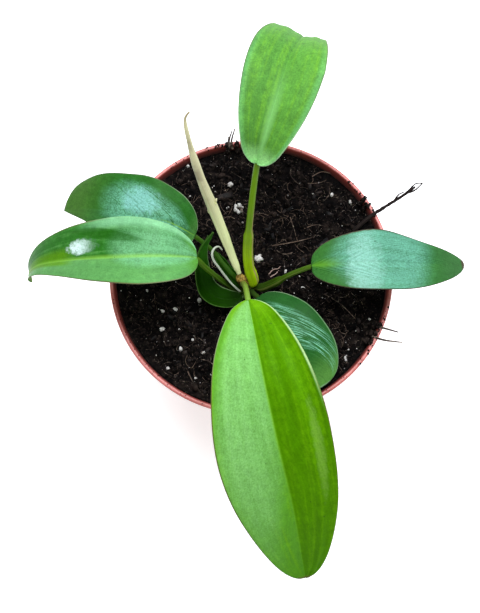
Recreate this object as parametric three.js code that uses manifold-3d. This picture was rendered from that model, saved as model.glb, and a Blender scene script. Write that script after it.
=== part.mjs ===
// A young narrow-leaved philodendron in a round plastic nursery pot, filled with a dark peat mix.
// Millimetres, +Z up. The origin is the centre of the pot's underside, which stands on z = 0.
// Seen from above, +X is right and +Y is away from the viewer, so the largest leaf points to -Y.

import * as THREE from "three";
import Module from "manifold-3d";
import { mergeVertices } from "three/addons/utils/BufferGeometryUtils.js";

const wasm = await Module();
wasm.setup();

// Pieces that touch in the real plant keep this running gap here.
const GAP = 0.3;

// The pot: an injection-moulded 12 cm nursery pot with a stacking collar and a rolled rim.
const POT_HEIGHT = 92;
const RIM_RADIUS = 60;
const RIM_WIDTH = 1.8;
const RIM_DEPTH = 2.4;
const COLLAR_HEIGHT = 10;
const COLLAR_STEP = 1.3;
const FOOT_RADIUS = 42;
const WALL = 1.1;
const FLOOR = 1.4;
const FLOOR_RISE = 2.2;
const FOOT_RING_WIDTH = 6;
const CENTRE_PAD_RADIUS = 15;
const DRAIN_RADIUS = 4;
const DRAIN_CIRCLE = 25.5;
const DRAIN_COUNT = 8;
const POT_SEGMENTS = 64;

// The peat fills the pot to just under the rim.
const SOIL_LEVEL = 88.2;
const SOIL_RINGS = 9;
const SOIL_ROUGHNESS = 0.8;
const CRUMB_COUNT = 64;
const CRUMB_FIELD = 53;
const CRUMB_KEEP_OUT = 14;
const STEM_AT = [-1.6, -4.5];

const PEAT = 0x1c1512;
const TERRACOTTA = 0xb9675c;
const BARK = 0x2a211b;
const STEM_BROWN = 0x7a6a34;
const OLD_LEAF = 0x2f6b33;
const GREEN_LEAF = 0x3f8f3a;
const YOUNG_LEAF = 0x76b83a;
const DRY_SHEATH = 0xcfcb94;

const degrees = THREE.MathUtils.degToRad;
const clamp01 = (x) => THREE.MathUtils.clamp(x, 0, 1);
const smooth = (x) => THREE.MathUtils.smoothstep(x, 0, 1);

// A repeatable random source, so that every build gives the same crumbs in the same places.
function seeded(seed) {
  let state = seed;
  return () => {
    state = (state * 1664525 + 1013904223) % 4294967296;
    return state / 4294967296;
  };
}

// A closed three.js geometry as a solid that can be joined and cut.
function solidOf(geometry) {
  const bare = new THREE.BufferGeometry()
    .setAttribute("position", geometry.getAttribute("position"))
    .setIndex(geometry.getIndex());
  const merged = mergeVertices(bare, 1e-4);
  const solid = new wasm.Manifold(
    new wasm.Mesh({
      numProp: 3,
      vertProperties: merged.attributes.position.array,
      triVerts: new Uint32Array(merged.index.array),
    }),
  );
  if (solid.volume() <= 0) throw new Error("a piece is inside out");
  return solid;
}

// The biggest body of a solid, so that no loose scrap of a cut is kept.
function largest(solid) {
  const bodies = solid.decompose();
  return bodies.sort((a, b) => b.volume() - a.volume())[0];
}

function meshOf(name, solid, colour, roughness) {
  const { vertProperties, triVerts } = largest(solid).getMesh();
  const geometry = new THREE.BufferGeometry();
  geometry.setAttribute("position", new THREE.BufferAttribute(vertProperties, 3));
  geometry.setIndex(new THREE.BufferAttribute(triVerts, 1));
  geometry.computeVertexNormals();
  const material = new THREE.MeshStandardMaterial({ color: colour, roughness, metalness: 0 });
  const mesh = new THREE.Mesh(geometry, material);
  mesh.name = name;
  return mesh;
}

// A closed profile of [radius, height] points turned round the Z axis.
function turned(profile, segments) {
  const points = profile.map(([r, z]) => new THREE.Vector2(r, z));
  return new THREE.LatheGeometry(points, segments).rotateX(Math.PI / 2);
}

const curveThrough = (points) =>
  new THREE.CatmullRomCurve3(points.map((p) => new THREE.Vector3(...p)), false, "centripetal");

// Frames at the given shares of a curve's length, carried along it without twisting.
function framesAlong(curve, shares) {
  let side = null;
  return shares.map((share) => {
    const along = curve.getTangentAt(share);
    side = side ?? new THREE.Vector3().crossVectors(along, new THREE.Vector3(0, 0, 1));
    side = side.clone().addScaledVector(along, -side.dot(along)).normalize();
    const up = new THREE.Vector3().crossVectors(side, along);
    return { at: curve.getPointAt(share), along, side, up };
  });
}

// Joins rows of points, each a closed ring of equal length, into a closed skin with flat ends.
function skinOfRings(rings) {
  const count = rings[0].length;
  const positions = rings.flat().flatMap((p) => [p.x, p.y, p.z]);
  const index = [];
  for (let i = 0; i + 1 < rings.length; i += 1) {
    for (let j = 0; j < count; j += 1) {
      const a = i * count + j;
      const b = i * count + ((j + 1) % count);
      index.push(a, b, b + count, a, b + count, a + count);
    }
  }
  const last = (rings.length - 1) * count;
  for (let j = 1; j + 1 < count; j += 1) {
    index.push(0, j + 1, j, last, last + j, last + j + 1);
  }
  const geometry = new THREE.BufferGeometry();
  geometry.setAttribute("position", new THREE.Float32BufferAttribute(positions, 3));
  geometry.setIndex(index);
  return geometry;
}

// A stalk along a curve. radiusAt(share, angle) gives its radius, and grow thickens it all round.
function stalk(points, radiusAt, { sides = 8, steps = 12, grow = 0 } = {}) {
  const shares = Array.from({ length: steps + 1 }, (_, i) => i / steps);
  const rings = framesAlong(curveThrough(points), shares).map(({ at, side, up }, i) =>
    Array.from({ length: sides }, (_, j) => {
      const angle = (j / sides) * 2 * Math.PI;
      const radius = radiusAt(shares[i], angle) + grow;
      return at
        .clone()
        .addScaledVector(side, radius * Math.cos(angle))
        .addScaledVector(up, -radius * Math.sin(angle));
    }),
  );
  return solidOf(skinOfRings(rings));
}

// How wide half a blade is at a share of its length, from 0 to 1, widest at the share widest.
// A smaller baseRound or tipRound makes that end blunter. tipRoundRight is for an uneven leaf.
function outline(share, blade, isLeft) {
  const { widest, baseRound, tipRound, tipRoundRight = tipRound } = blade;
  if (share < widest) return Math.sin((Math.PI / 2) * (share / widest)) ** baseRound;
  const taper = isLeft ? tipRound : tipRoundRight;
  return Math.cos((Math.PI / 2) * ((share - widest) / (1 - widest))) ** taper;
}

// A point of a blade's middle surface. across runs from -1 at the left margin to 1 at the right.
// Each half rises from the midrib by its fold, and then curves up or down by its cup.
function bladePoint(blade, frame, share, across) {
  const isLeft = across < 0;
  const reach = Math.abs(across);
  const half = (isLeft ? blade.left : blade.right) * outline(share, blade, isLeft) + blade.endWidth;
  const fold = degrees(isLeft ? blade.foldLeft : blade.foldRight);
  const cup = degrees(blade.cup) * smooth(share * 4) + 1e-4;
  const outward = Math.sin(cup * reach) / cup;
  const upward = (1 - Math.cos(cup * reach)) / cup;
  const sideways = half * (Math.cos(fold) * outward - Math.sin(fold) * upward);
  const lift = half * (Math.sin(fold) * outward + Math.cos(fold) * upward);
  const roll = degrees(blade.roll) * smooth(share);
  const dx = Math.sign(across) * sideways;
  return frame.at
    .clone()
    .addScaledVector(frame.side, dx * Math.cos(roll) - lift * Math.sin(roll))
    .addScaledVector(frame.up, dx * Math.sin(roll) + lift * Math.cos(roll));
}

const BLADE_DEFAULTS = {
  widest: 0.45,
  baseRound: 0.6,
  tipRound: 0.8,
  endWidth: 0.5,
  foldLeft: 15,
  foldRight: 15,
  cup: 0,
  roll: 0,
  thickness: 0.7,
  rib: 1,
  steps: 20,
  columns: [-1, -0.6, -0.08, 0, 0.08, 0.6, 1],
};

// A thin closed blade whose two faces are split into triangles alike, with the midrib raised below.
function bladeSolid(given) {
  const blade = { ...BLADE_DEFAULTS, ...given };
  const { steps, columns, thickness } = blade;
  const shares = Array.from({ length: steps + 1 }, (_, i) => 0.5 - 0.5 * Math.cos((Math.PI * i) / steps));
  const frames = framesAlong(curveThrough(blade.midrib), shares);
  const middle = shares.map((share, i) => columns.map((c) => bladePoint(blade, frames[i], share, c)));
  const pick = (i, j) => middle[THREE.MathUtils.clamp(i, 0, steps)][THREE.MathUtils.clamp(j, 0, columns.length - 1)];
  const normalAt = (i, j) =>
    new THREE.Vector3()
      .subVectors(pick(i, j + 1), pick(i, j - 1))
      .cross(new THREE.Vector3().subVectors(pick(i + 1, j), pick(i - 1, j)))
      .normalize();
  const rings = middle.map((row, i) => {
    const ribDepth = blade.rib * (1 - shares[i]) + 0.15;
    const top = row.map((p, j) => p.clone().addScaledVector(normalAt(i, j), thickness / 2));
    const bottom = row.map((p, j) => {
      const depth = thickness / 2 + (columns[j] === 0 ? ribDepth : 0);
      return p.clone().addScaledVector(normalAt(i, j), -depth);
    });
    return { top, bottom };
  });
  return solidOf(skinOfSheet(rings.map((r) => r.top), rings.map((r) => r.bottom)));
}

// Closes two like grids of points, an upper and a lower face, into one skin.
function skinOfSheet(top, bottom) {
  const rows = top.length;
  const columns = top[0].length;
  const positions = [...top.flat(), ...bottom.flat()].flatMap((p) => [p.x, p.y, p.z]);
  const upper = (i, j) => i * columns + j;
  const lower = (i, j) => rows * columns + i * columns + j;
  const index = [];
  const quad = (a, b, c, d) => index.push(a, b, c, a, c, d);
  for (let i = 0; i + 1 < rows; i += 1) {
    for (let j = 0; j + 1 < columns; j += 1) {
      quad(upper(i, j), upper(i, j + 1), upper(i + 1, j + 1), upper(i + 1, j));
      index.push(lower(i, j), lower(i + 1, j + 1), lower(i, j + 1));
      index.push(lower(i, j), lower(i + 1, j), lower(i + 1, j + 1));
    }
    quad(lower(i, 0), upper(i, 0), upper(i + 1, 0), lower(i + 1, 0));
    quad(upper(i, columns - 1), lower(i, columns - 1), lower(i + 1, columns - 1), upper(i + 1, columns - 1));
  }
  for (let j = 0; j + 1 < columns; j += 1) {
    quad(lower(0, j), lower(0, j + 1), upper(0, j + 1), upper(0, j));
    quad(upper(rows - 1, j), upper(rows - 1, j + 1), lower(rows - 1, j + 1), lower(rows - 1, j));
  }
  const geometry = new THREE.BufferGeometry();
  geometry.setAttribute("position", new THREE.Float32BufferAttribute(positions, 3));
  geometry.setIndex(index);
  return geometry;
}

// The pot's section, from the middle of its underside, up its outside and down its inside.
// grow thickens it all round, to cut clearance for what lies against it.
const INNER_RIM_POINT = 14;
function potProfile(grow = 0) {
  const collarBottom = POT_HEIGHT - COLLAR_HEIGHT;
  const collarRadius = RIM_RADIUS - (RIM_WIDTH - WALL) - 0.8;
  const wallTop = collarRadius - COLLAR_STEP;
  const innerCollar = collarRadius - WALL;
  const innerRim = RIM_RADIUS - RIM_WIDTH;
  return [
    [0, -grow],
    [CENTRE_PAD_RADIUS, -grow],
    [CENTRE_PAD_RADIUS + 1.5, FLOOR_RISE - grow],
    [FOOT_RADIUS - FOOT_RING_WIDTH, FLOOR_RISE - grow],
    [FOOT_RADIUS - FOOT_RING_WIDTH + 1.5, -grow],
    [FOOT_RADIUS - 0.8, -grow],
    [FOOT_RADIUS + grow, 0.8],
    [wallTop + grow, collarBottom - 1],
    [collarRadius - 0.6 + grow, collarBottom + 0.4],
    [collarRadius + grow, POT_HEIGHT - RIM_DEPTH - 0.6],
    [RIM_RADIUS + grow, POT_HEIGHT - RIM_DEPTH],
    [RIM_RADIUS + grow, POT_HEIGHT - 0.5],
    [RIM_RADIUS - 0.5 + grow, POT_HEIGHT + grow],
    [innerRim + 0.4 - grow, POT_HEIGHT + grow],
    [innerRim - grow, POT_HEIGHT - 0.5],
    [innerCollar - 0.6 - grow, collarBottom + 1.2],
    [wallTop - WALL - 0.1 - grow, collarBottom - 1.2],
    [FOOT_RADIUS - WALL - 1 - grow, FLOOR + 2.4 + grow],
    [FOOT_RADIUS - FOOT_RING_WIDTH + 2.5, FLOOR + grow],
    [FOOT_RADIUS - FOOT_RING_WIDTH - 0.2, FLOOR_RISE + FLOOR + grow],
    [CENTRE_PAD_RADIUS + 1.7, FLOOR_RISE + FLOOR + grow],
    [CENTRE_PAD_RADIUS - 0.2, FLOOR + grow],
    [0, FLOOR + grow],
  ];
}

function potSolid() {
  let pot = solidOf(turned(potProfile(), POT_SEGMENTS));
  for (let i = 0; i < DRAIN_COUNT; i += 1) {
    const angle = ((i + 0.5) / DRAIN_COUNT) * 2 * Math.PI;
    const drain = new THREE.CylinderGeometry(DRAIN_RADIUS, DRAIN_RADIUS, 20, 16).rotateX(Math.PI / 2);
    drain.translate(DRAIN_CIRCLE * Math.cos(angle), DRAIN_CIRCLE * Math.sin(angle), FLOOR_RISE);
    pot = pot.subtract(solidOf(drain));
  }
  return pot;
}

// Gentle hills of the peat's surface, in millimetres, with a dip where the stem goes in.
function soilRelief(x, y) {
  const broad = Math.sin(x * 0.11 + 1.3) * Math.cos(y * 0.09 - 0.4);
  const small = Math.sin(x * 0.43 + y * 0.31) * Math.cos(y * 0.52 - x * 0.17 + 2);
  const fine = Math.sin(x * 1.13 - y * 0.71 + 4) * Math.cos(y * 1.31 + x * 0.37);
  const dip = 1.2 * (1 - smooth((Math.hypot(x - STEM_AT[0], y - STEM_AT[1]) - 4) / 9));
  return SOIL_ROUGHNESS * (0.55 * broad + 0.5 * small + 0.35 * fine) - dip;
}

// The block of peat: the pot's inside less the gap, its top raised and lowered by the relief.
function soilBlock() {
  const wall = potProfile(GAP).slice(INNER_RIM_POINT).reverse();
  const [rimRadius, rimHeight] = wall.pop();
  const [collarRadius, collarHeight] = wall.at(-1);
  const slope = (rimRadius - collarRadius) / (rimHeight - collarHeight);
  const edge = collarRadius + slope * (SOIL_LEVEL - collarHeight);
  for (let ring = SOIL_RINGS; ring >= 0; ring -= 1) {
    wall.push([edge * (ring / SOIL_RINGS), SOIL_LEVEL]);
  }
  const geometry = turned(wall, POT_SEGMENTS);
  const position = geometry.getAttribute("position");
  for (let i = 0; i < position.count; i += 1) {
    const x = position.getX(i);
    const y = position.getY(i);
    const inward = smooth((edge - Math.hypot(x, y)) / 6);
    if (position.getZ(i) > SOIL_LEVEL - 0.01) {
      position.setZ(i, SOIL_LEVEL + inward * soilRelief(x, y));
    }
  }
  return solidOf(geometry);
}

// A crumb, chip or grain: a few-sided lump with its own proportions and turn.
function lump(random, x, y, z, size) {
  const crumb = new THREE.OctahedronGeometry(size, 0);
  crumb.scale(0.7 + 0.6 * random(), 0.7 + 0.6 * random(), 0.6 + 0.4 * random());
  crumb.rotateX(random() * Math.PI).rotateY(random() * Math.PI).rotateZ(random() * Math.PI);
  return solidOf(crumb.translate(x, y, z));
}

// Crumbs and perlite grains sunk into the surface, spread evenly over the disc on a sunflower spiral.
function soilCrumbs() {
  const random = seeded(7);
  const crumbs = [];
  for (let i = 0; i < CRUMB_COUNT; i += 1) {
    const radius = CRUMB_FIELD * Math.sqrt((i + 0.5) / CRUMB_COUNT);
    const angle = i * 2.39996 + 0.5 * random();
    const size = 1.3 + 1.4 * random() ** 2;
    const x = radius * Math.cos(angle);
    const y = radius * Math.sin(angle);
    const isClear = Math.hypot(x - STEM_AT[0], y - STEM_AT[1]) > CRUMB_KEEP_OUT;
    if (isClear) crumbs.push(lump(random, x, y, SOIL_LEVEL + soilRelief(x, y) - 0.2 * size, size));
  }
  return crumbs;
}

// Peat that has spilled over the rim in three places, with coarse fibres that stick out past it.
// Each place is a few rows of clods, side by side, which climb out of the pot in overlapping steps.
const SPILLS = [
  { from: 96, to: 100, rows: 2, fibres: [[[-8.0, 56, 91.5], [-8.4, 58.5, 94.2], [-7.0, 63.0, 97.5]]] },
  { from: 31, to: 34, rows: 2, fibres: [] },
  {
    from: -31,
    to: -23,
    rows: 3,
    fibres: [
      [[53, -23.0, 91], [56.3, -24.6, 93.8], [61.2, -26.2, 94.4]],
      [[50.5, -27.2, 91], [55.2, -29.4, 93.9], [62.4, -30.6, 95.0]],
    ],
  },
];
const CLOD_STEPS = [[54.8, 88.4], [56.6, 90.7], [58.4, 92.6]];

function soilSpills() {
  const random = seeded(21);
  return SPILLS.flatMap(({ from, to, rows, fibres }) => {
    const pieces = fibres.map((points) =>
      stalk(points, (share) => 0.55 - 0.3 * share, { sides: 5, steps: 6 }),
    );
    for (let row = 0; row < rows; row += 1) {
      const turn = degrees(from + ((to - from) * row) / (rows - 1));
      for (const [radius, height] of CLOD_STEPS) {
        pieces.push(lump(random, radius * Math.cos(turn), radius * Math.sin(turn), height, 2.7 + 0.5 * random()));
      }
    }
    return pieces;
  });
}

// The short stem: buried below, ringed by old leaf scars, and cut off brown at its top node.
const STEM_LINE = [
  [-1.4, -4.4, 62],
  [-1.6, -4.5, 86],
  [-3.0, -5.0, 97],
  [-4.6, -5.4, 104],
];
const stemRadius = (share) => {
  const scars = 0.25 * Math.cos(share * 62);
  return 4.6 - 2.4 * smooth((share - 0.45) / 0.5) + scars;
};
const stemSolid = (grow = 0) => stalk(STEM_LINE, stemRadius, { sides: 10, steps: 22, grow });

// Each leaf is one piece: a stalk that clasps the stem, and a blade whose midrib the stalk becomes.
// petiole and midrib are the lines that they follow, and left and right are half the blade's width.
// thick lists the stalk's radius at shares of its length: it swells where its sheath wraps the stem.
const LEAVES = [
  {
    name: "leaf_south",
    colour: YOUNG_LEAF,
    petiole: [[-4.5, -5, 100.5], [-4, -7, 107], [-2.5, -13, 119], [-1.5, -21.5, 131]],
    thick: [[0, 1.5], [0.15, 1.6], [0.4, 1.3], [1, 1.25]],
    blade: {
      midrib: [[-1.5, -21.5, 131], [0, -32, 140], [3.5, -52, 145], [8, -75.5, 138], [14, -100, 120.5], [21.5, -124.5, 95]],
      left: 21.5, right: 23, widest: 0.5, baseRound: 0.68, tipRound: 0.72, tipRoundRight: 0.55, foldLeft: 18,
      foldRight: 18, cup: -6,
    },
  },
  {
    name: "leaf_north",
    colour: YOUNG_LEAF,
    petiole: [[0.5, -5, 92], [0.5, -4, 97], [-1, -1, 106], [-1.5, 3.5, 115], [-0.5, 13.5, 133], [1.5, 27, 150]],
    thick: [[0, 1.6], [0.06, 2.6], [0.13, 2.6], [0.22, 2.15], [0.48, 2], [0.54, 1.35], [1, 1.15]],
    blade: {
      midrib: [[1.5, 27, 150], [4, 32.5, 158], [8.5, 46, 165], [14, 64, 159.5], [19.5, 80, 143], [22, 85, 128], [22.5, 86, 112]],
      left: 14.8, right: 15.2, widest: 0.37, baseRound: 0.6, tipRound: 0.66, tipRoundRight: 1.15, foldLeft: 16,
      foldRight: 12, cup: -6,
    },
  },
  {
    name: "leaf_east",
    colour: GREEN_LEAF,
    petiole: [[1, -5.5, 90.8], [4.5, -6.5, 92.5], [8.5, -6, 96], [16.5, -4.5, 107], [24, -3.5, 116]],
    thick: [[0, 1.3], [0.12, 1.9], [0.4, 1.8], [0.52, 1.1], [1, 1]],
    blade: {
      midrib: [[24, -3.5, 116], [33, -3.5, 119], [48, -3, 120], [64, -2, 114], [77.5, 0, 106], [89, 2.5, 97]],
      left: 13.5, right: 11, widest: 0.42, baseRound: 0.55, tipRound: 0.75, foldLeft: 8, foldRight: 8, cup: -10,
    },
  },
  {
    name: "leaf_west",
    colour: GREEN_LEAF,
    petiole: [[-3, -7, 90], [-6.5, -7.5, 91.5], [-10, -6, 95], [-14, -5, 103.5], [-18.5, -4, 114.5], [-21.5, -3, 126]],
    thick: [[0, 1.3], [0.2, 1.25], [0.5, 1.1], [1, 1.1]],
    blade: {
      midrib: [[-21.5, -3, 126], [-31.5, -4.5, 134.5], [-42, -4.5, 136], [-57, -3, 130], [-75.5, -1, 116], [-88, 0, 103], [-94, -2, 91]],
      left: 11, right: 15, widest: 0.42, baseRound: 0.55, tipRound: 1, foldLeft: 14, foldRight: 14, cup: -8,
    },
  },
  {
    name: "leaf_northwest",
    colour: OLD_LEAF,
    petiole: [[-3.5, -5, 95], [-7.5, -3, 98.5], [-11.5, 1, 101], [-15.5, 5.5, 104], [-23, 10.5, 111.5]],
    thick: [[0, 1.3], [0.3, 1.3], [0.6, 1], [1, 1]],
    blade: {
      midrib: [[-23, 10.5, 111.5], [-33, 14.5, 116], [-41, 16.5, 117], [-53.5, 19.5, 114], [-67, 23.5, 107], [-79, 26, 98]],
      left: 13, right: 17, widest: 0.45, baseRound: 0.5, tipRound: 0.9, foldLeft: 10, foldRight: 10, cup: -14,
    },
    // Its sheath stands open under the stalk, wider to the left where the margin has dried and curled.
    sheath: {
      midrib: [[-3.5, -5.5, 94.5], [-7.5, -4, 97.8], [-11.5, 0.5, 100.3], [-15, 5.5, 103.3]],
      left: 3.8, right: 2.6, widest: 0.35, baseRound: 0.3, tipRound: 0.5, foldLeft: 0, foldRight: 10,
      cup: 75, steps: 9, rib: 0.3,
    },
  },
  {
    name: "leaf_southeast",
    colour: OLD_LEAF,
    petiole: [[-0.5, -6.5, 90.8], [1, -9.5, 93.5], [3, -12, 98.5]],
    thick: [[0, 1.2], [1, 1.1]],
    blade: {
      midrib: [[3, -12, 98.5], [10.5, -22, 103], [19, -34, 103.5], [28, -49, 97]],
      left: 13.5, right: 14, widest: 0.5, baseRound: 0.5, tipRound: 0.6, foldLeft: 8, foldRight: 8, cup: -18,
      steps: 16,
    },
  },
  {
    name: "leaf_southwest",
    colour: OLD_LEAF,
    petiole: [[-2, -7, 90.2], [-2.5, -9.5, 92.3], [-4, -11.2, 94.8]],
    thick: [[0, 1.1], [1, 1]],
    blade: {
      midrib: [[-4, -11.2, 94.8], [-9.5, -12.5, 96], [-15.5, -11.5, 97.5], [-20, -8, 100.5], [-21.5, -0.5, 107], [-20, 5.5, 114], [-15.5, 9.5, 119]],
      left: 5, right: 5, widest: 0.38, baseRound: 0.45, tipRound: 1.1, foldLeft: 12, foldRight: 12, cup: 30,
      rib: 0.5,
    },
  },
];

const MIDRIB_ROOT = [0.06, 0.16];
const MIDRIB_DROP = 0.8;

// A value read off a short list of [share, value] stops.
function along(stops, share) {
  const next = stops.findIndex(([at]) => at >= share);
  if (next <= 0) return stops[0][1];
  const [from, low] = stops[next - 1];
  const [to, high] = stops[next];
  return low + (high - low) * smooth((share - from) / (to - from));
}

// The stalk runs on under the blade and thins there, as the root of the midrib.
function petioleSolid(leaf, grow = 0) {
  const [near, far] = framesAlong(curveThrough(leaf.blade.midrib), MIDRIB_ROOT);
  const under = ({ at, up }) => at.clone().addScaledVector(up, -MIDRIB_DROP).toArray();
  const points = [...leaf.petiole, under(near), under(far)];
  const reach = curveThrough(leaf.petiole).getLength() / curveThrough(points).getLength();
  const radiusAt = (share) => {
    const thinning = 1 - 0.65 * smooth((share - reach) / (1 - reach));
    return along(leaf.thick, clamp01(share / reach)) * thinning;
  };
  return stalk(points, radiusAt, { sides: 8, steps: 16, grow });
}

function leafSolid(leaf) {
  const whole = bladeSolid(leaf.blade).add(petioleSolid(leaf));
  return leaf.sheath ? whole.add(bladeSolid(leaf.sheath)) : whole;
}

// The bract that wrapped the newest leaf: dried cream, still rolled, one edge lapped over the other.
const SPEAR_LINE = [
  [-5, -4, 106.2],
  [-8.5, 2.5, 115.5],
  [-14.5, 13, 135],
  [-20, 22.5, 151.5],
  [-23.5, 31.5, 163],
  [-24.5, 37, 168.5],
  [-23, 38.5, 171],
];
const SPEAR_THICK = [[0, 0.9], [0.06, 1.45], [0.3, 1.9], [0.45, 2], [0.7, 1.5], [0.88, 0.8], [1, 0.35]];
const spearRadius = (share, angle) => along(SPEAR_THICK, share) * (1 + 0.14 * ((angle / (2 * Math.PI) + 0.35) % 1));

// A strip of bark in the mix that lies over the rim and frays at its end.
const TWIG_LINE = [
  [44.0, 19.6, 88.6],
  [51.3, 25.0, 92.6],
  [58.0, 28.9, 95.2],
  [64.5, 32.4, 98],
  [69.3, 35.2, 101],
];

const spear = stalk(SPEAR_LINE, spearRadius, { sides: 12, steps: 20 });
const twigSolid = (grow = 0) => stalk(TWIG_LINE, (share) => 0.95 - 0.5 * share, { sides: 6, steps: 10, grow });

const root = new THREE.Group();
root.add(meshOf("pot", potSolid(), TERRACOTTA, 0.45));

let loose = soilCrumbs()[0];
for (const piece of [...soilCrumbs(), ...soilSpills()]) loose = loose.add(piece);
loose = loose.subtract(solidOf(turned(potProfile(GAP), POT_SEGMENTS)));
const soil = soilBlock().add(loose).subtract(stemSolid(GAP)).subtract(twigSolid(GAP));
root.add(meshOf("soil", soil, PEAT, 0.95));

root.add(meshOf("stem", stemSolid(), STEM_BROWN, 0.7));
root.add(meshOf("dry_sheath", spear.subtract(stemSolid(GAP)), DRY_SHEATH, 0.8));
root.add(meshOf("bark_strip", twigSolid(), BARK, 0.9));

// Leaves in order from the newest to the oldest: each older stalk is cut back clear of the newer ones.
let inTheWay = stemSolid(GAP);
for (const leaf of LEAVES) {
  root.add(meshOf(leaf.name, leafSolid(leaf).subtract(inTheWay), leaf.colour, 0.4));
  inTheWay = inTheWay.add(petioleSolid(leaf, GAP));
}

export default root;
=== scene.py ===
"""A young narrow-leaved philodendron in a round plastic nursery pot of dark peat mix.

Sizes are in millimetres and become metres as each piece is finished. Seen from above, +X is right and
+Y is away from the viewer, as in the frame.
"""
import math
import random

import bmesh
import bpy
from mathutils import Matrix, Vector, noise


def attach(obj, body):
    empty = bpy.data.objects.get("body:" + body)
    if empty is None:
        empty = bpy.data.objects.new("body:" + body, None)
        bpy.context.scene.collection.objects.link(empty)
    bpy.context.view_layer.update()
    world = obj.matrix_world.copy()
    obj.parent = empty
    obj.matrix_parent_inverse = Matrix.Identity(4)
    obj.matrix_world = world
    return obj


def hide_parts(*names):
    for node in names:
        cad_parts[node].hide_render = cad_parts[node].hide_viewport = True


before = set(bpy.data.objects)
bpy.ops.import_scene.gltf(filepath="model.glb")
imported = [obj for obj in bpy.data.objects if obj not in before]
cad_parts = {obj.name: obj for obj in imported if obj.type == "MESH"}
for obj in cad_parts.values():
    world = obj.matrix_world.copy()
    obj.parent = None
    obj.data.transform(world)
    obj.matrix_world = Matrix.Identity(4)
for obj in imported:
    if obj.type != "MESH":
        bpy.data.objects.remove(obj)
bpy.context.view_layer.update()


# The pot
# An injection-moulded 12 cm nursery pot of terracotta-coloured polypropylene, with a stacking collar,
# a rolled rim and drain holes. It has been handled: the rim is chalky, scuffed and dusted with peat.
# Its upward faces are painted paler, partly chalk and partly a painted highlight, and the wall inside
# the rim is painted a deeper red as painted shade.
MM = 0.001
DAYLIGHT = 1.15


def seen(red, green, blue):
    """The albedo of a surface that is seen with this colour, 0 to 255, in the scene's daylight."""
    def linear(level):
        level /= 255
        return level / 12.92 if level < 0.04045 else ((level + 0.055) / 1.055) ** 2.4
    return tuple(linear(level) / DAYLIGHT for level in (red, green, blue)) + (1,)


def smooth(x):
    x = min(max(x, 0), 1)
    return x * x * (3 - 2 * x)


def finished(bm, name, materials, replaces=()):
    """Turns a bmesh in millimetres into a piece that rides on the body and stands for its CAD nodes."""
    bmesh.ops.scale(bm, vec=(MM, MM, MM), verts=bm.verts)
    for face in bm.faces:
        face.smooth = True
    mesh = bpy.data.meshes.new(name)
    bm.to_mesh(mesh)
    bm.free()
    for material in materials:
        mesh.materials.append(material)
    piece = bpy.data.objects.new(name, mesh)
    bpy.context.scene.collection.objects.link(piece)
    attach(piece, "root")
    if replaces:
        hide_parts(*replaces)
    return piece


def cut_away(bm, cutter):
    """Cuts one bmesh out of another, and gives the result as a new bmesh."""
    parts = []
    for source in (bm, cutter):
        mesh = bpy.data.meshes.new("cutting")
        source.to_mesh(mesh)
        source.free()
        parts.append(bpy.data.objects.new("cutting", mesh))
        bpy.context.scene.collection.objects.link(parts[-1])
    boolean = parts[0].modifiers.new("holes", "BOOLEAN")
    boolean.operation = "DIFFERENCE"
    boolean.solver = "EXACT"
    boolean.object = parts[1]
    result = bmesh.new()
    result.from_object(parts[0], bpy.context.evaluated_depsgraph_get())
    for part in parts:
        bpy.data.objects.remove(part)
    return result


class Varying:
    """A number or colour that varies over a surface. What is reckoned with it becomes shader nodes."""
    def __init__(self, socket):
        self.socket = socket
        self.tree = socket.id_data

    def by(self, operation, *others):
        """The result of a Math node on this value and one or two others."""
        return add(self.tree, "Math", dict(enumerate((self, *others))), operation=operation)[0]

    def __add__(self, other):
        return self.by("ADD", other)

    def __sub__(self, other):
        return self.by("SUBTRACT", other)

    def __rsub__(self, other):
        return self.by("MULTIPLY_ADD", -1.0, other)

    def __mul__(self, other):
        return self.by("MULTIPLY", other)

    def __truediv__(self, other):
        return self.by("DIVIDE", other)

    def __abs__(self):
        return self.by("ABSOLUTE")

    __radd__ = __add__
    __rmul__ = __mul__


def fed(node, inputs):
    """Sets a node's inputs, a plain value on its own socket and a varying one by a link."""
    for name, value in inputs.items():
        socket = node.inputs[name.replace("_", " ") if isinstance(name, str) else name]
        if isinstance(value, Varying):
            value.tree.links.new(value.socket, socket)
        else:
            socket.default_value = value


def outputs_of(node):
    """A node's outputs, by number and by name."""
    outputs = [Varying(socket) for socket in node.outputs]
    return dict(enumerate(outputs)) | {output.socket.name: output for output in outputs}


def add(tree, kind, inputs=None, **settings):
    """Adds a shader node with its settings and inputs, and gives its outputs."""
    node = tree.nodes.new("ShaderNode" + kind)
    for name, value in settings.items():
        setattr(node, name, value)
    fed(node, inputs or {})
    return outputs_of(node)


def step_between(value, low, high):
    """0 below low and 1 above high, with a smooth rise between. With low above high it falls."""
    limits = {"Value": value, "From Min": low, "From Max": high}
    return add(value.tree, "MapRange", limits, interpolation_type="SMOOTHSTEP")[0]


def ranging(value, least, most):
    """A value of 0 to 1 as one of least to most."""
    return add(value.tree, "MapRange", {"Value": value, "To Min": least, "To Max": most})[0]


def blended(share, first, second):
    return add(share.tree, "Mix", {0: share, 6: first, 7: second}, data_type="RGBA")[2]


def noise_of(place, scale, detail=3.0, roughness=0.55):
    looks = {"Vector": place, "Scale": scale, "Detail": detail, "Roughness": roughness}
    return add(place.tree, "TexNoise", looks)[0]


def stretched(place, scale):
    """A place measured out by its own scale on each axis, so that a pattern is drawn long on some."""
    return add(place.tree, "Mapping", {0: place, 3: scale})[0]


def object_place(tree):
    return add(tree, "TexCoord")["Object"]


def sheet_place(tree):
    return add(tree, "UVMap", uv_map="UVMap")[0]


def material_named(name):
    material = bpy.data.materials.new(name)
    material.use_nodes = True
    tree = material.node_tree
    return material, tree, tree.nodes["Principled BSDF"]


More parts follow.
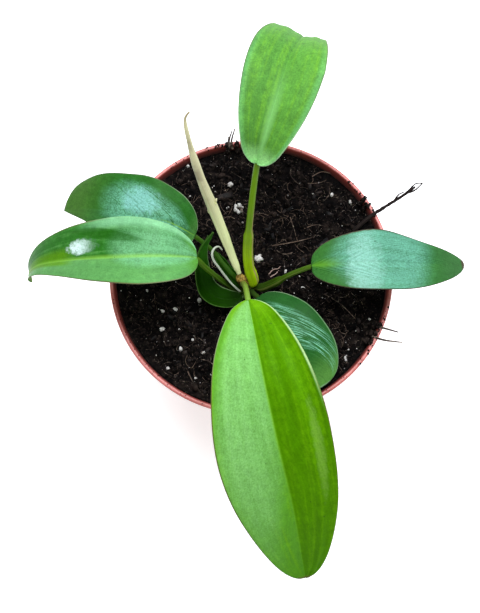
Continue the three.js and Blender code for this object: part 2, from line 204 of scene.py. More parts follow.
def bump(shader, height, distance):
    """Gives a surface its fine relief, distance millimetres deep where height goes from 0 to 1."""
    fed(shader, {"Normal": add(height.tree, "Bump", {"Height": height, "Distance": distance * MM})[0]})


POT_HEIGHT = 92
RIM_RADIUS = 60
RIM_WIDTH = 1.8
COLLAR_RADIUS = 58.5
COLLAR_BOTTOM = 82
WALL_TOP = 57.2
WALL = 1.1
FOOT_RADIUS = 42
FOOT_RING = 6
PAD_RADIUS = 15
FLOOR = 1.4
FLOOR_RISE = 2.2
DRAIN_RADIUS = 4
DRAIN_CIRCLE = 25.5
DRAIN_COUNT = 8
PEATY_BELOW = 88.2
CLEAN_ABOVE = 91.6

POT_OUTSIDE = [
    (0, 0), (PAD_RADIUS, 0), (PAD_RADIUS + 1.5, FLOOR_RISE), (FOOT_RADIUS - FOOT_RING, FLOOR_RISE),
    (FOOT_RADIUS - FOOT_RING + 1.5, 0), (FOOT_RADIUS - 0.8, 0), (FOOT_RADIUS, 0.8),
    (WALL_TOP, COLLAR_BOTTOM - 1), (COLLAR_RADIUS - 0.6, COLLAR_BOTTOM + 0.4),
    (COLLAR_RADIUS, POT_HEIGHT - 3), (RIM_RADIUS, POT_HEIGHT - 2.4), (RIM_RADIUS, POT_HEIGHT - 0.5),
    (RIM_RADIUS - 0.5, POT_HEIGHT), (RIM_RADIUS - RIM_WIDTH + 0.4, POT_HEIGHT),
    (RIM_RADIUS - RIM_WIDTH, POT_HEIGHT - 0.5),
]
POT_INSIDE = [
    (COLLAR_RADIUS - WALL - 0.6, COLLAR_BOTTOM + 1.2), (WALL_TOP - WALL - 0.1, COLLAR_BOTTOM - 1.2),
    (FOOT_RADIUS - WALL - 1, FLOOR + 2.4), (FOOT_RADIUS - FOOT_RING + 2.5, FLOOR),
    (FOOT_RADIUS - FOOT_RING - 0.2, FLOOR_RISE + FLOOR), (PAD_RADIUS + 1.7, FLOOR_RISE + FLOOR),
    (PAD_RADIUS - 0.2, FLOOR), (0, FLOOR),
]

pot_bm = bmesh.new()
section = [pot_bm.verts.new((radius, 0, height)) for radius, height in POT_OUTSIDE + POT_INSIDE]
section_edges = [pot_bm.edges.new(ends) for ends in zip(section, section[1:])]
bmesh.ops.spin(
    pot_bm, geom=section + section_edges, cent=(0, 0, 0), axis=(0, 0, 1), angle=math.tau, steps=160,
    use_merge=True, use_duplicate=False,
)
bmesh.ops.remove_doubles(pot_bm, verts=pot_bm.verts, dist=0.01)
bmesh.ops.recalc_face_normals(pot_bm, faces=pot_bm.faces)
sharp = [edge for edge in pot_bm.edges if edge.calc_face_angle(0) > math.radians(24)]
bmesh.ops.bevel(pot_bm, geom=sharp, offset=0.18, affect="EDGES", segments=2, profile=0.5, material=-1)

drains = bmesh.new()
for number in range(DRAIN_COUNT):
    turn = (number + 0.5) / DRAIN_COUNT * math.tau
    place = Matrix.Translation((DRAIN_CIRCLE * math.cos(turn), DRAIN_CIRCLE * math.sin(turn), FLOOR_RISE))
    bmesh.ops.create_cone(
        drains, cap_ends=True, segments=32, radius1=DRAIN_RADIUS, radius2=DRAIN_RADIUS, depth=12,
        matrix=place,
    )
pot_bm = cut_away(pot_bm, drains)

pot_plastic, tree, shader = material_named("pot_plastic")
where = object_place(tree)
axes = add(tree, "SeparateXYZ", {0: where})
from_axis = add(tree, "CombineXYZ", {0: axes[0], 1: axes[1]})[0]
facing = add(tree, "NewGeometry")["Normal"]
outward = add(tree, "VectorMath", {0: facing, 1: from_axis}, operation="DOT_PRODUCT")["Value"]
upward = add(tree, "SeparateXYZ", {0: facing})[2]
cloudy = noise_of(where, 60.0, 5.0)
fine_specks = noise_of(where, 1400.0, 2.0)
plastic = blended(cloudy, seen(168, 70, 62), seen(196, 88, 78))
# Upward faces are painted paler: partly chalk, partly a painted highlight.
chalk_and_highlight = step_between(upward, 0.2, 0.95) * step_between(cloudy, 0.2, 0.75)
plastic = blended(chalk_and_highlight * 0.75, plastic, seen(226, 142, 138))
scratched = noise_of(stretched(where, (1.0, 1.0, 9.0)), 420.0, 4.0, 0.7)
scuff = step_between(scratched, 0.62, 0.75)
plastic = blended(scuff * 0.35, plastic, seen(222, 150, 142))
# The wall inside the rim is painted a deeper red: painted shade.
# Peat clings to the wall inside the rim and sits on it as specks.
inside = step_between(outward, 0.0, -20 * MM)
low = step_between(axes[2], CLEAN_ABOVE * MM, PEATY_BELOW * MM)
peaty = inside * low * step_between(cloudy, 0.1, 0.6)
plastic = blended(inside * 0.55, plastic, seen(112, 30, 28))
plastic = blended(peaty * 0.8, plastic, seen(40, 22, 20))
grime = step_between(upward, 0.4, 0.9) * step_between(fine_specks, 0.66, 0.7)
plastic = blended(grime * 0.7, plastic, seen(70, 40, 34))
satin = blended(peaty, ranging(cloudy, 0.34, 0.55), (0.85, 0.85, 0.85, 1))
fed(shader, {"Base Color": plastic, "Roughness": satin})
bump(shader, fine_specks + scratched * 0.6, 0.04)

finished(pot_bm, "nursery_pot", [pot_plastic], ["pot"])


# The peat mix
# Dark peat, composted bark and coir, filled to just under the rim, in soft crumbs and clods. It is
# one body with the roots in it. A little has spilled on the rim in three places.
SOIL_LEVEL = 88.2
SOIL_EDGE = 57.3
SOIL_ROUGHNESS = 0.8
STEM_AT = (-1.6, -4.5)
HOLLOW_BELOW = 0.5
HOLLOW_DEPTH = 1.3
SOIL_AROUND = 640
SOIL_RINGS = 118
SOIL_WALL = [
    (56.5, 83.2), (55.7, 80.8), (39.6, 4.1), (38.4, 1.9), (35.8, 3.9), (16.7, 3.9), (14.8, 1.7), (0, 1.7),
]


def mapped_sheet(bm, columns, rows, place):
    """Lays a grid of faces along a formula. place(u, v) is a point in millimetres, u and v from 0 to 1."""
    uv_layer = bm.loops.layers.uv.get("UVMap") or bm.loops.layers.uv.new("UVMap")
    grid = bmesh.ops.create_grid(bm, x_segments=columns, y_segments=rows, size=0.5, calc_uvs=True)["verts"]
    for vert in grid:
        u, v = vert.link_loops[0][uv_layer].uv
        vert.co = place(u, v)
    return grid


def soil_relief(x, y):
    """Gentle hills of the surface, with a dip where the stem goes in."""
    broad = math.sin(x * 0.11 + 1.3) * math.cos(y * 0.09 - 0.4)
    small = math.sin(x * 0.43 + y * 0.31) * math.cos(y * 0.52 - x * 0.17 + 2)
    fine = math.sin(x * 1.13 - y * 0.71 + 4) * math.cos(y * 1.31 + x * 0.37)
    dip = 1.2 * (1 - smooth((math.hypot(x - STEM_AT[0], y - STEM_AT[1]) - 4) / 9))
    return SOIL_ROUGHNESS * (0.55 * broad + 0.5 * small + 0.35 * fine) - dip


def soil_height(x, y):
    """The height of the surface, with its clods and crumbs."""
    lowered = noise.noise(Vector((x * 0.16, y * 0.16, 3.0)))
    clods = 1 - 1.5 * noise.voronoi(Vector((x * 0.3, y * 0.3, 0.4)))[0][0]
    crumbs = 1 - 1.5 * noise.voronoi(Vector((x * 0.72, y * 0.72, 5.0)))[0][0]
    grit = noise.fractal(Vector((x * 1.7, y * 1.7, 9.0)), 1.0, 2.0, 3)
    crumbly = 0.9 * clods + 0.75 * crumbs * (0.6 + 0.6 * lowered) + 0.28 * grit - 0.7
    inward = smooth((SOIL_EDGE - math.hypot(x, y)) / 6)
    return SOIL_LEVEL + inward * soil_relief(x, y) + (0.25 + 0.75 * inward) * crumbly


def soil_point(u, v):
    row = round(v * (SOIL_RINGS + len(SOIL_WALL)))
    turn = u * math.tau
    if row > SOIL_RINGS:
        radius, height = SOIL_WALL[row - SOIL_RINGS - 1]
        return radius * math.cos(turn), radius * math.sin(turn), height
    radius = SOIL_EDGE * (row / SOIL_RINGS) ** 0.85
    x = radius * math.cos(turn)
    y = radius * math.sin(turn)
    return x, y, soil_height(x, y)


peat_tone = bpy.data.node_groups.new("peat_tone", "ShaderNodeTree")
for name, value in (("Dark Colour", seen(4, 3, 3)), ("Brown Colour", seen(48, 39, 36)),
                    ("Fleck And Glint Colour", seen(158, 144, 134))):
    socket = peat_tone.interface.new_socket(name, in_out="INPUT", socket_type="NodeSocketColor")
    socket.default_value = value
peat_tone.interface.new_socket("Colour", in_out="OUTPUT", socket_type="NodeSocketColor")
peat_tone.interface.new_socket("Roughness", in_out="OUTPUT", socket_type="NodeSocketFloat")
peat_tone.interface.new_socket("Height", in_out="OUTPUT", socket_type="NodeSocketFloat")
given = outputs_of(peat_tone.nodes.new("NodeGroupInput"))
put_out = peat_tone.nodes.new("NodeGroupOutput")
where = object_place(peat_tone)
patches = noise_of(where, 160.0, 4.0)
grains = noise_of(where, 900.0, 5.0, 0.65)
flecks_and_glints = noise_of(where, 1500.0, 2.0, 0.5)
tone = blended(step_between(patches, 0.45, 0.8), given[0], given[1])
tone = blended(step_between(grains, 0.49, 0.66), tone, given[1])
# Pale flecks: partly real specks of grit, partly painted glints of wet crumbs.
tone = blended(step_between(flecks_and_glints, 0.69, 0.76), tone, given[2])
# Painted shade: the hollows of the surface are darkened towards black.
hollow_shade = add(peat_tone, "Attribute", attribute_name="hollow_shade")["Fac"]
tone = blended(hollow_shade * 0.85, tone, seen(2, 1, 2))
damp = {"Value": grains, "From Min": 0.3, "From Max": 0.6, "To Min": 0.42, "To Max": 0.9}
damp = add(peat_tone, "MapRange", damp)[0]
fed(put_out, {"Colour": tone, "Roughness": damp, "Height": grains + flecks_and_glints * 0.5})


def effect(tree, group, **values):
    """Places a shared effect in a material, its inputs set to this material's own values."""
    node = tree.nodes.new("ShaderNodeGroup")
    node.node_tree = group
    fed(node, values)
    return outputs_of(node)


def peat_material(name, relief, **colours):
    material, tree, shader = material_named(name)
    tone = effect(tree, peat_tone, **colours)
    fed(shader, {"Base Color": tone["Colour"], "Roughness": tone["Roughness"], "Specular IOR Level": 0.04})
    bump(shader, tone["Height"], relief)
    return material


peat = peat_material("peat", 0.35)
soil_bm = bmesh.new()
mapped_sheet(soil_bm, SOIL_AROUND, SOIL_RINGS + len(SOIL_WALL), soil_point)
bmesh.ops.remove_doubles(soil_bm, verts=soil_bm.verts, dist=0.001)
# How deep each point lies in a hollow, for the painted shade there.
hollow_shade_layer = soil_bm.verts.layers.float.new("hollow_shade")
for vert in soil_bm.verts:
    x, y, z = vert.co
    vert[hollow_shade_layer] = smooth((SOIL_LEVEL + soil_relief(x, y) + HOLLOW_BELOW - z) / HOLLOW_DEPTH)
bmesh.ops.recalc_face_normals(soil_bm, faces=soil_bm.faces)
finished(soil_bm, "peat_mix", [peat], ["soil"])


def lump(bm, chance, place, size, detail=1, flat=(0.6, 1.0), ragged=0.35):
    """A crumb, clod or grain: an icosphere with its own proportions, turn and ragged surface."""
    shape = Matrix.Diagonal((chance.uniform(0.7, 1.3), chance.uniform(0.7, 1.3), chance.uniform(*flat), 1))
    tilt = Matrix.Rotation(
        chance.uniform(0, math.pi), 4, (chance.random(), chance.random(), chance.random() + 0.2)
    )
    made = bmesh.ops.create_icosphere(bm, subdivisions=detail, radius=1)["verts"]
    salt = Vector((chance.uniform(0, 50), 0, 0))
    for vert in made:
        vert.co *= 1 + ragged * noise.noise(vert.co * 2.1 + salt)
    bmesh.ops.transform(
        bm, verts=made, matrix=Matrix.Translation(place) @ tilt @ shape @ Matrix.Scale(size, 4)
    )
    return made


def pour(heap, into):
    """Empties one bmesh into another. Small heaps are made apart because that is far quicker."""
    mesh = bpy.data.meshes.new("heap")
    heap.to_mesh(mesh)
    heap.free()
    into.from_mesh(mesh)
    bpy.data.meshes.remove(mesh)


def on_soil(x, y, above=0.0):
    return Vector((x, y, soil_height(x, y) + above))


def scattered(chance, edge=56.2):
    """A random place on the peat, clear of the stem."""
    while True:
        x = chance.uniform(-edge, edge)
        y = chance.uniform(-edge, edge)
        if math.hypot(x, y) < edge and math.hypot(x - STEM_AT[0], y - STEM_AT[1]) > 6:
            return x, y


# Loose crumbs of peat
# What lies on the surface: thousands of crumbs from dust to peppercorn size, a few clods of them,
# and the spilled ones on the rim, which climb out over it where the pot was filled.
CRUMB_HEAPS = 75
CRUMBS_IN_HEAP = 60
CLOD_COUNT = 150
SPILLS = [(96, 100, 2), (31, 34, 2), (-31, -23, 3)]
CLOD_STEPS = [(54.8, 88.4), (56.6, 90.7), (58.4, 92.6)]
SPILL_CRUMBS = 26
RIM_SPECKS = 170

chance = random.Random(11)
crumbs_bm = bmesh.new()
for heap_number in range(CRUMB_HEAPS):
    heap = bmesh.new()
    for number in range(CRUMBS_IN_HEAP):
        x, y = scattered(chance)
        size = 0.22 + 0.75 * chance.random() ** 3
        lump(heap, chance, on_soil(x, y, 0.25 * size), size)
    pour(heap, crumbs_bm)
clods_bm = bmesh.new()
for number in range(CLOD_COUNT):
    x, y = scattered(chance, 54)
    size = chance.uniform(0.9, 1.9)
    lump(clods_bm, chance, on_soil(x, y, 0.1 * size), size, 2, (0.5, 0.8), 0.7)
for first, last, rows in SPILLS:
    for row in range(rows):
        turn = math.radians(first + (last - first) * row / (rows - 1))
        for radius, height in CLOD_STEPS:
            place = Vector((radius * math.cos(turn), radius * math.sin(turn), height - 0.9))
            lump(clods_bm, chance, place, chance.uniform(1.1, 1.5), 3, (0.6, 0.8), 0.8)
    for number in range(SPILL_CRUMBS):
        turn = math.radians(chance.gauss((first + last) / 2, 6))
        radius = chance.uniform(57.9, 59.8)
        place = Vector((radius * math.cos(turn), radius * math.sin(turn), POT_HEIGHT + 0.15))
        lump(clods_bm, chance, place, chance.uniform(0.25, 0.6))
for number in range(RIM_SPECKS):
    turn = chance.uniform(0, math.tau)
    radius = chance.uniform(58.3, 59.7)
    place = Vector((radius * math.cos(turn), radius * math.sin(turn), POT_HEIGHT + 0.08))
    lump(clods_bm, chance, place, chance.uniform(0.1, 0.3))
pour(clods_bm, crumbs_bm)
loose_peat = peat_material("loose_peat", 0.3, Dark_Colour=seen(5, 4, 4), Brown_Colour=seen(58, 48, 44))
finished(crumbs_bm, "peat_crumbs", [loose_peat])


# Perlite
# White grains of expanded volcanic glass in the mix, brittle and pitted, half sunk and smeared with
# peat. The ones that show are placed one by one, and dust of the same stuff lies between them.
PERLITE = [
    (-9.0, 40.7, 1.3), (3.3, 7.4, 1.75), (-21.9, -11.0, 1.5), (-31.9, -14.9, 1.2), (-37.4, -15.7, 1.1),
    (-37.6, -23.5, 1.2), (-29.6, -32.1, 1.2), (-20.2, -33.7, 1.0), (1.7, -9.3, 0.8), (14.7, 1.7, 0.8),
    (22.1, -5.4, 0.8), (43.2, 33.0, 0.9), (35.2, 36.1, 0.8), (40.8, -32.0, 0.7), (39.3, -35.6, 0.8),
    (39.7, -36.8, 0.7), (50.1, -19.1, 0.6), (-26.9, 35.6, 0.8), (-21.3, 19.4, 0.7), (-27.4, 49.4, 0.9),
    (-10.4, 30.4, 0.6), (-3.6, 23.6, 0.6), (-44.2, -6.7, 0.6), (-24.6, -28.1, 0.6), (-23.2, -44.5, 0.6),
    (-16.8, -42.7, 0.6), (-34.9, -40.2, 0.9), (-30.2, -24.0, 0.8),
]
CRACKED_GRAIN = (-5.2, 29.9)
CRACKED_RADIUS = 1.55
CRACKED_PIECES = 6
PERLITE_DUST_AND_GLINTS = 420

perlite, tree, shader = material_named("perlite")
where = object_place(tree)
pits = noise_of(where, 1300.0, 4.0)
stain = noise_of(where, 420.0, 3.0)
white = blended(step_between(pits, 0.3, 0.6), seen(150, 142, 138), seen(226, 222, 220))
white = blended(step_between(stain, 0.48, 0.66), white, seen(104, 88, 80))
fed(shader, {"Base Color": white, "Roughness": 0.8})
bump(shader, pits, 0.25)

chance = random.Random(5)
perlite_bm = bmesh.new()
for x, y, size in PERLITE:
    lump(perlite_bm, chance, on_soil(x, y, 0.35 * size), 0.8 * size, 3, (0.6, 0.85), 0.6)
for number in range(CRACKED_PIECES):
    turn = number / CRACKED_PIECES * math.tau + 0.4
    x = CRACKED_GRAIN[0] + CRACKED_RADIUS * math.cos(turn)
    y = CRACKED_GRAIN[1] + CRACKED_RADIUS * math.sin(turn)
    lump(perlite_bm, chance, on_soil(x, y, 0.5), chance.uniform(0.75, 1.0), 2, (0.7, 0.9), 0.5)
# The perlite dust: tiny white grains that also stand in for painted glints on the peat.
for number in range(PERLITE_DUST_AND_GLINTS):
    x, y = scattered(chance)
    size = 0.08 + 0.3 * chance.random() ** 4
    lump(perlite_bm, chance, on_soil(x, y, 0.35), size)
finished(perlite_bm, "perlite_grains", [perlite])


# Fibres and bark
# Coir, fine roots and splinters of bark lie on the peat and stick out past the rim. They are thin,
# dry and springy, so they arch clear of the surface between the crumbs that hold them.
LINE_SAMPLES = 160


def line_through(points):
    """A smooth line through points: its places, and how far along it each of them lies."""
    knots = [Vector(point) for point in points]
    knots = [2 * knots[0] - knots[1], *knots, 2 * knots[-1] - knots[-2]]
    spans = len(points) - 1
    places = []
    for number in range(LINE_SAMPLES + 1):
        span = min(number * spans // LINE_SAMPLES, spans - 1)
        share = number * spans / LINE_SAMPLES - span
        before, start, end, after = knots[span:span + 4]
        gaps = [max((b - a).length ** 0.5, 1e-4) for a, b in ((before, start), (start, end), (end, after))]
        pace = (end - start) / gaps[1]
        leave = (start - before) / gaps[0] - (end - before) / (gaps[0] + gaps[1]) + pace
        reach = pace - (after - start) / (gaps[1] + gaps[2]) + (after - end) / gaps[2]
        leave *= gaps[1]
        reach *= gaps[1]
        places.append(
            start + leave * share + (3 * (end - start) - 2 * leave - reach) * share ** 2
            + (2 * (start - end) + leave + reach) * share ** 3
        )
    run = [0.0]
    for first, second in zip(places, places[1:]):
        run.append(run[-1] + (second - first).length)
    return places, run


def frames_along(points, shares):
    """Frames carried along a line without twisting: place, right-hand side and up at each share."""
    places, run = line_through(points)
    frames = []
    side = None
    mark = 0
    for share in shares:
        while mark < len(run) - 2 and run[mark + 1] < share * run[-1]:
            mark += 1
        part = (share * run[-1] - run[mark]) / (run[mark + 1] - run[mark])
        before, after = max(mark - 1, 0), min(mark + 2, len(places) - 1)
        forward = (places[after] - places[before]).normalized()
        side = side or forward.cross(Vector((0, 0, 1)))
        side = (side - forward * side.dot(forward)).normalized()
        frames.append((places[mark].lerp(places[mark + 1], part), side, side.cross(forward)))
    return frames


def tube(bm, points, radius_at, sides=5, steps=8):
    """A closed tube along a line. radius_at(share, angle) is its radius, angle 0 on its right side."""
    frames = frames_along(points, [number / steps for number in range(steps + 1)])

    def place(u, v):
        row = round(v * (steps + 2))
        share = min(max(row - 1, 0), steps)
        at, side, up = frames[share]
        angle = u * math.tau
        radius = 0 if row in (0, steps + 2) else radius_at(share / steps, angle)
        return at + side * (radius * math.cos(angle)) - up * (radius * math.sin(angle))

    made = mapped_sheet(bm, sides, steps + 2, place)
    bmesh.ops.remove_doubles(bm, verts=made, dist=1e-4)


FIBRES_LYING = [
    [(23, 21), (28, 22.4), (33.5, 21.6)], [(9, 13), (20, 15), (27.5, 17.3)],
    [(11, 11), (14, 9.5), (20, 11)], [(31, -8), (38, -13), (46, -21)],
    [(-35.8, -24.9), (-36.6, -28), (-35.9, -30.5)], [(-26.6, -41.5), (-24, -46.5), (-20.9, -50.6)],
    [(-21, -36.4), (-18, -37.2), (-15.6, -39)], [(17.6, 48.7), (17.4, 45), (19.2, 42.3), (22.3, 40.4)],
    [(26.7, 44.6), (31, 46.6), (36.7, 45.5)], [(17, 26), (18.5, 21), (20, 15.5)],
]
CURLS_LYING = [[(7.5, 0.5), (9.5, 2.4), (11.5, 2.7), (13, 4.6)], [(8.2, -0.6), (10.5, 0.6), (12.4, 3.1)]]
FIBRES_OVER_RIM = [
    [(-8.0, 56, 91.5), (-8.4, 58.5, 94.2), (-7.0, 63.0, 97.5)],
    [(-9.2, 56, 91.5), (-9.4, 58.8, 94.6), (-8.2, 62.2, 97)],
    [(-10.4, 56.5, 91.0), (-9.8, 58.6, 93.6), (-9.6, 60.4, 95)],
    [(53, -23.0, 91), (56.3, -24.6, 93.8), (61.2, -26.2, 94.4)],
    [(50.5, -27.2, 91), (55.2, -29.4, 93.9), (62.4, -30.6, 95.0)],
]
ROOTLET_COUNT = 620


def threads_on_soil(bm, chance, ways, thick):
    for way in ways:
        points = [on_soil(x, y, 0.5 + 0.4 * chance.random()) for x, y in way]
        points[0].z -= 0.6
        points[-1].z -= 0.6
        tube(bm, points, lambda share, angle: thick * (1 - 0.5 * share), steps=14)


chance = random.Random(3)
fibres_bm = bmesh.new()
threads_on_soil(fibres_bm, chance, FIBRES_LYING, 0.24)
for points in FIBRES_OVER_RIM:
    tube(fibres_bm, points, lambda share, angle: 0.55 - 0.3 * share, sides=7, steps=14)
for number in range(ROOTLET_COUNT):
    x, y = scattered(chance, 55.5)
    heading = chance.uniform(0, math.tau)
    bend = chance.uniform(-1.1, 1.1)
    length = chance.uniform(2.0, 8.5)
    way = [(x, y)]
    for piece_number in range(3):
        x += length / 3 * math.cos(heading)
        y += length / 3 * math.sin(heading)
        heading += bend
        way.append((x, y))
    if max(math.hypot(*place) for place in way) < SOIL_EDGE - 0.5:
        points = [on_soil(*place, chance.uniform(-0.1, 0.5)) for place in way]
        radius = chance.uniform(0.05, 0.13)
        tube(fibres_bm, points, lambda share, angle: radius * (1 - 0.5 * share), sides=4, steps=7)

coir, tree, shader = material_named("coir_fibre")
where = object_place(tree)
tone = noise_of(where, 55.0, 2.0)
along_it = noise_of(where, 700.0, 3.0)
brown = blended(step_between(tone, 0.42, 0.62), seen(48, 38, 34), seen(112, 92, 80))
brown = blended(step_between(along_it, 0.5, 0.75), brown, seen(160, 142, 128))
fed(shader, {"Base Color": brown, "Roughness": 0.7, "Specular IOR Level": 0.15})
bump(shader, along_it, 0.05)
finished(fibres_bm, "coir_fibres", [coir])

curls_bm = bmesh.new()
threads_on_soil(curls_bm, chance, CURLS_LYING, 0.24)
shaving, tree, shader = material_named("root_shaving")
where = object_place(tree)
ragged = noise_of(where, 800.0, 3.0)
fed(shader, {"Base Color": blended(ragged, seen(214, 186, 176), seen(150, 112, 100)), "Roughness": 0.75})
bump(shader, ragged, 0.06)
finished(curls_bm, "root_shavings", [shaving])

BARK_CHIPS = 120
NAMED_CHIPS = [
    (-11, 35.6, 7.0, 2.6, 0.2), (31, 14, 5.0, 2.2, 0.8), (-33, 4, 5.5, 2.0, 2.2), (24, -32, 4.6, 2.2, 1.4)
]


def chip(bm, place, length, width, turn, tilt):
    """A splinter of bark: a block drawn long and flat, its edges broken."""
    made = bmesh.ops.create_cube(bm, size=1)["verts"]
    edges = list({edge for vert in made for edge in vert.link_edges})
    made = bmesh.ops.subdivide_edges(bm, edges=edges, cuts=2, use_grid_fill=True)["geom_inner"]
    body = {vert for edge in edges for vert in edge.verts} | {
        v for v in made if isinstance(v, bmesh.types.BMVert)
    }
    shape = Matrix.Diagonal((length, width, 0.9, 1))
    for vert in body:
        vert.co += 0.22 * noise.noise_vector(vert.co * 1.7 + Vector(place))
        vert.co.y *= 1 - 0.9 * vert.co.x ** 2
    facing = Matrix.Rotation(turn, 4, "Z") @ Matrix.Rotation(tilt, 4, "X")
    bmesh.ops.transform(bm, verts=list(body), matrix=Matrix.Translation(place) @ facing @ shape)


chance = random.Random(17)
chips_bm = bmesh.new()
for x, y, length, width, turn in NAMED_CHIPS:
    chip(chips_bm, on_soil(x, y, 0.4), length, width, turn, 0.15)
for number in range(BARK_CHIPS):
    x, y = scattered(chance, 54.5)
    length = chance.uniform(1.2, 3.4)
    chip(
        chips_bm, on_soil(x, y, 0.15), length, length * chance.uniform(0.25, 0.6),
        chance.uniform(0, math.pi), chance.uniform(-0.6, 0.6)
    )
bark_chip, tree, shader = material_named("bark_chip")
where = object_place(tree)
tone = noise_of(where, 120.0, 3.0)
layers = noise_of(stretched(where, (1.0, 1.0, 6.0)), 700.0, 3.0)
dark = blended(step_between(tone, 0.4, 0.65), seen(12, 11, 13), seen(44, 34, 31))
dark = blended(step_between(layers, 0.55, 0.8), dark, seen(78, 68, 66))
fed(shader, {"Base Color": dark, "Roughness": 0.62, "Specular IOR Level": 0.15})
bump(shader, layers, 0.12)
finished(chips_bm, "bark_chips", [bark_chip])


# The bark strip
# A long splinter of bark that was in the mix and came to lie over the rim on the right. It is dry,
# dark and fibrous, and its end is split into a loop and two points.
STRIP_LINE = [
    (44.0, 19.6, 88.6), (51.3, 25.0, 92.6), (58.0, 28.9, 95.2), (64.5, 32.4, 98), (69.3, 35.2, 101)
]
STRIP_SPLITS = [
    [(63.2, 31.8, 97.3), (66.4, 33.9, 99.4), (69.5, 36.4, 101.6), (72.6, 36.6, 102.0)],
    [(66.5, 33.3, 98.9), (69.2, 34.0, 100.2), (72.2, 36.4, 101.8)],
    [(60.5, 30.2, 96.2), (62.9, 32.9, 98.4), (64.8, 33.6, 98.9)],
]


def splintered(thick):
    def radius_at(share, angle):
        rough = noise.noise(Vector((share * 26, math.cos(angle) * 1.3, math.sin(angle) * 1.3 + thick * 9)))
        return thick * (1 - 0.45 * share) * (1 + 0.32 * rough)
    return radius_at


strip_bm = bmesh.new()
tube(strip_bm, STRIP_LINE, splintered(0.92), sides=14, steps=60)
for points in STRIP_SPLITS:
    tube(strip_bm, points, splintered(0.42), sides=10, steps=30)
strip_bark, tree, shader = material_named("strip_bark")
uv = sheet_place(tree)
fibrous = noise_of(stretched(uv, (16.0, 3.0, 1.0)), 2.0, 5.0, 0.7)
dark = blended(step_between(fibrous, 0.35, 0.7), seen(14, 11, 11), seen(48, 36, 33))
dark = blended(step_between(fibrous, 0.62, 0.8), dark, seen(112, 98, 92))
fed(shader, {"Base Color": dark, "Roughness": 0.78, "Specular IOR Level": 0.12})
bump(shader, fibrous, 0.2)
finished(strip_bm, "bark_splinter", [strip_bark], ["bark_strip"])


# The stem
# Short, woody at the foot and ringed by the scars of fallen leaves. Its top node is wrapped in the
# brown fibres that old sheaths leave behind, and a dry scale still stands on it.
STEM_LINE = [(-1.4, -4.4, 62), (-1.6, -4.5, 86), (-3.0, -5.0, 97), (-4.6, -5.4, 104)]
NODE_FIBRES = 34
NODE_BROWN_ABOVE = 99.5
GREEN_BELOW = 95
BROWN_FOOT = (92, 88.5)


def stem_radius(share, angle):
    scars = 0.25 * math.cos(share * 62)
    rough = 0.12 * noise.noise(Vector((share * 40, 2 * math.cos(angle), 2 * math.sin(angle))))
    return 4.5 - 2.75 * smooth((share - 0.45) / 0.5) + scars + rough


chance = random.Random(29)
stem_bm = bmesh.new()
tube(stem_bm, STEM_LINE, stem_radius, sides=40, steps=150)
stem_frames = frames_along(STEM_LINE, [0.78, 0.84, 0.9, 0.96, 1.0])
for number in range(NODE_FIBRES):
    angle = chance.uniform(0, math.tau)
    lean = chance.uniform(-0.5, 0.5)
    first = chance.randrange(2)
    points = []
    for step, (at, side, up) in enumerate(stem_frames[first:first + 3]):
        turn = angle + lean * step
        radius = stem_radius(0.78 + 0.06 * (first + step), turn) + 0.12 + 0.1 * step
        points.append(at + side * (radius * math.cos(turn)) - up * (radius * math.sin(turn)))
    thick = chance.uniform(0.1, 0.22)
    tube(stem_bm, points, lambda share, angle: thick * (1 - 0.6 * share), sides=5, steps=8)
stem_bark, tree, shader = material_named("stem_bark")
where = object_place(tree)
height = add(tree, "SeparateXYZ", {0: where})[2]
streaky = noise_of(stretched(where, (1.0, 1.0, 0.25)), 900.0, 4.0, 0.65)
mottled = noise_of(where, 260.0, 3.0)
brown = blended(step_between(streaky, 0.35, 0.65), seen(82, 60, 20), seen(172, 142, 68))
green = blended(mottled, seen(96, 104, 36), seen(70, 66, 26))
brown = blended(step_between(height, NODE_BROWN_ABOVE * MM, GREEN_BELOW * MM), brown, green)
brown = blended(step_between(height, BROWN_FOOT[0] * MM, BROWN_FOOT[1] * MM), brown, seen(44, 32, 22))
fed(shader, {"Base Color": brown, "Roughness": 0.7, "Specular IOR Level": 0.15})
bump(shader, streaky, 0.25)
finished(stem_bm, "stem_with_node", [stem_bark], ["stem"])


# The dried bract
# The sheath that wrapped the newest leaf. It has dried to papery cream and stands beside the crown
# still rolled, one edge lapped over the other, green only where it was last fed.
BRACT_LINE = [
    (-5, -4, 106.2), (-8.5, 2.5, 115.5), (-14.5, 13, 135), (-20, 22.5, 151.5), (-23.5, 31.5, 163),
    (-24.5, 37, 168.5), (-23, 38.5, 170.9),
]
BRACT_THICK = [(0, 0.9), (0.06, 1.45), (0.3, 1.9), (0.45, 2), (0.7, 1.5), (0.88, 0.8), (1, 0.35)]
BRACT_LAP = 0.14


def read_off(stops, share):
    """A value between the stops of a short list, with a smooth way from each to the next."""
    for (start, low), (end, high) in zip(stops, stops[1:]):
        if share <= end:
            return low + (high - low) * smooth((share - start) / (end - start))
    return stops[-1][1]


def bract_radius(share, angle):
    turn = (angle / math.tau + 0.35) % 1
    lap = 1 + BRACT_LAP * smooth(turn * 1.02) + 0.06 * math.exp(-((turn - 0.93) / 0.05) ** 2)
    pleats = 0.035 * math.sin(angle * 5 + share * 9) + 0.03 * noise.noise(Vector((share * 22, angle, 0)))
    return read_off(BRACT_THICK, share) * (lap - 0.03 + pleats)


def bract_lip(share, centre, across, length):
    """A small flap of the bract's edge that has sprung away and rolled over."""
    (at, side, up), = frames_along(BRACT_LINE, [share])
    outward = side * math.cos(centre) - up * math.sin(centre)
    along = side.cross(up) * -1
    radius = bract_radius(share, centre)

    def place(u, v):
        curl = v * 2.6
        rise = outward * (math.sin(curl) * length * 0.45 + radius * 0.9)
        run = along * (length * (1 - math.cos(curl)) * 0.4)
        width = along.cross(outward) * ((u - 0.5) * across * (1 - 0.5 * v * v))
        return at + rise + run + width
    return place


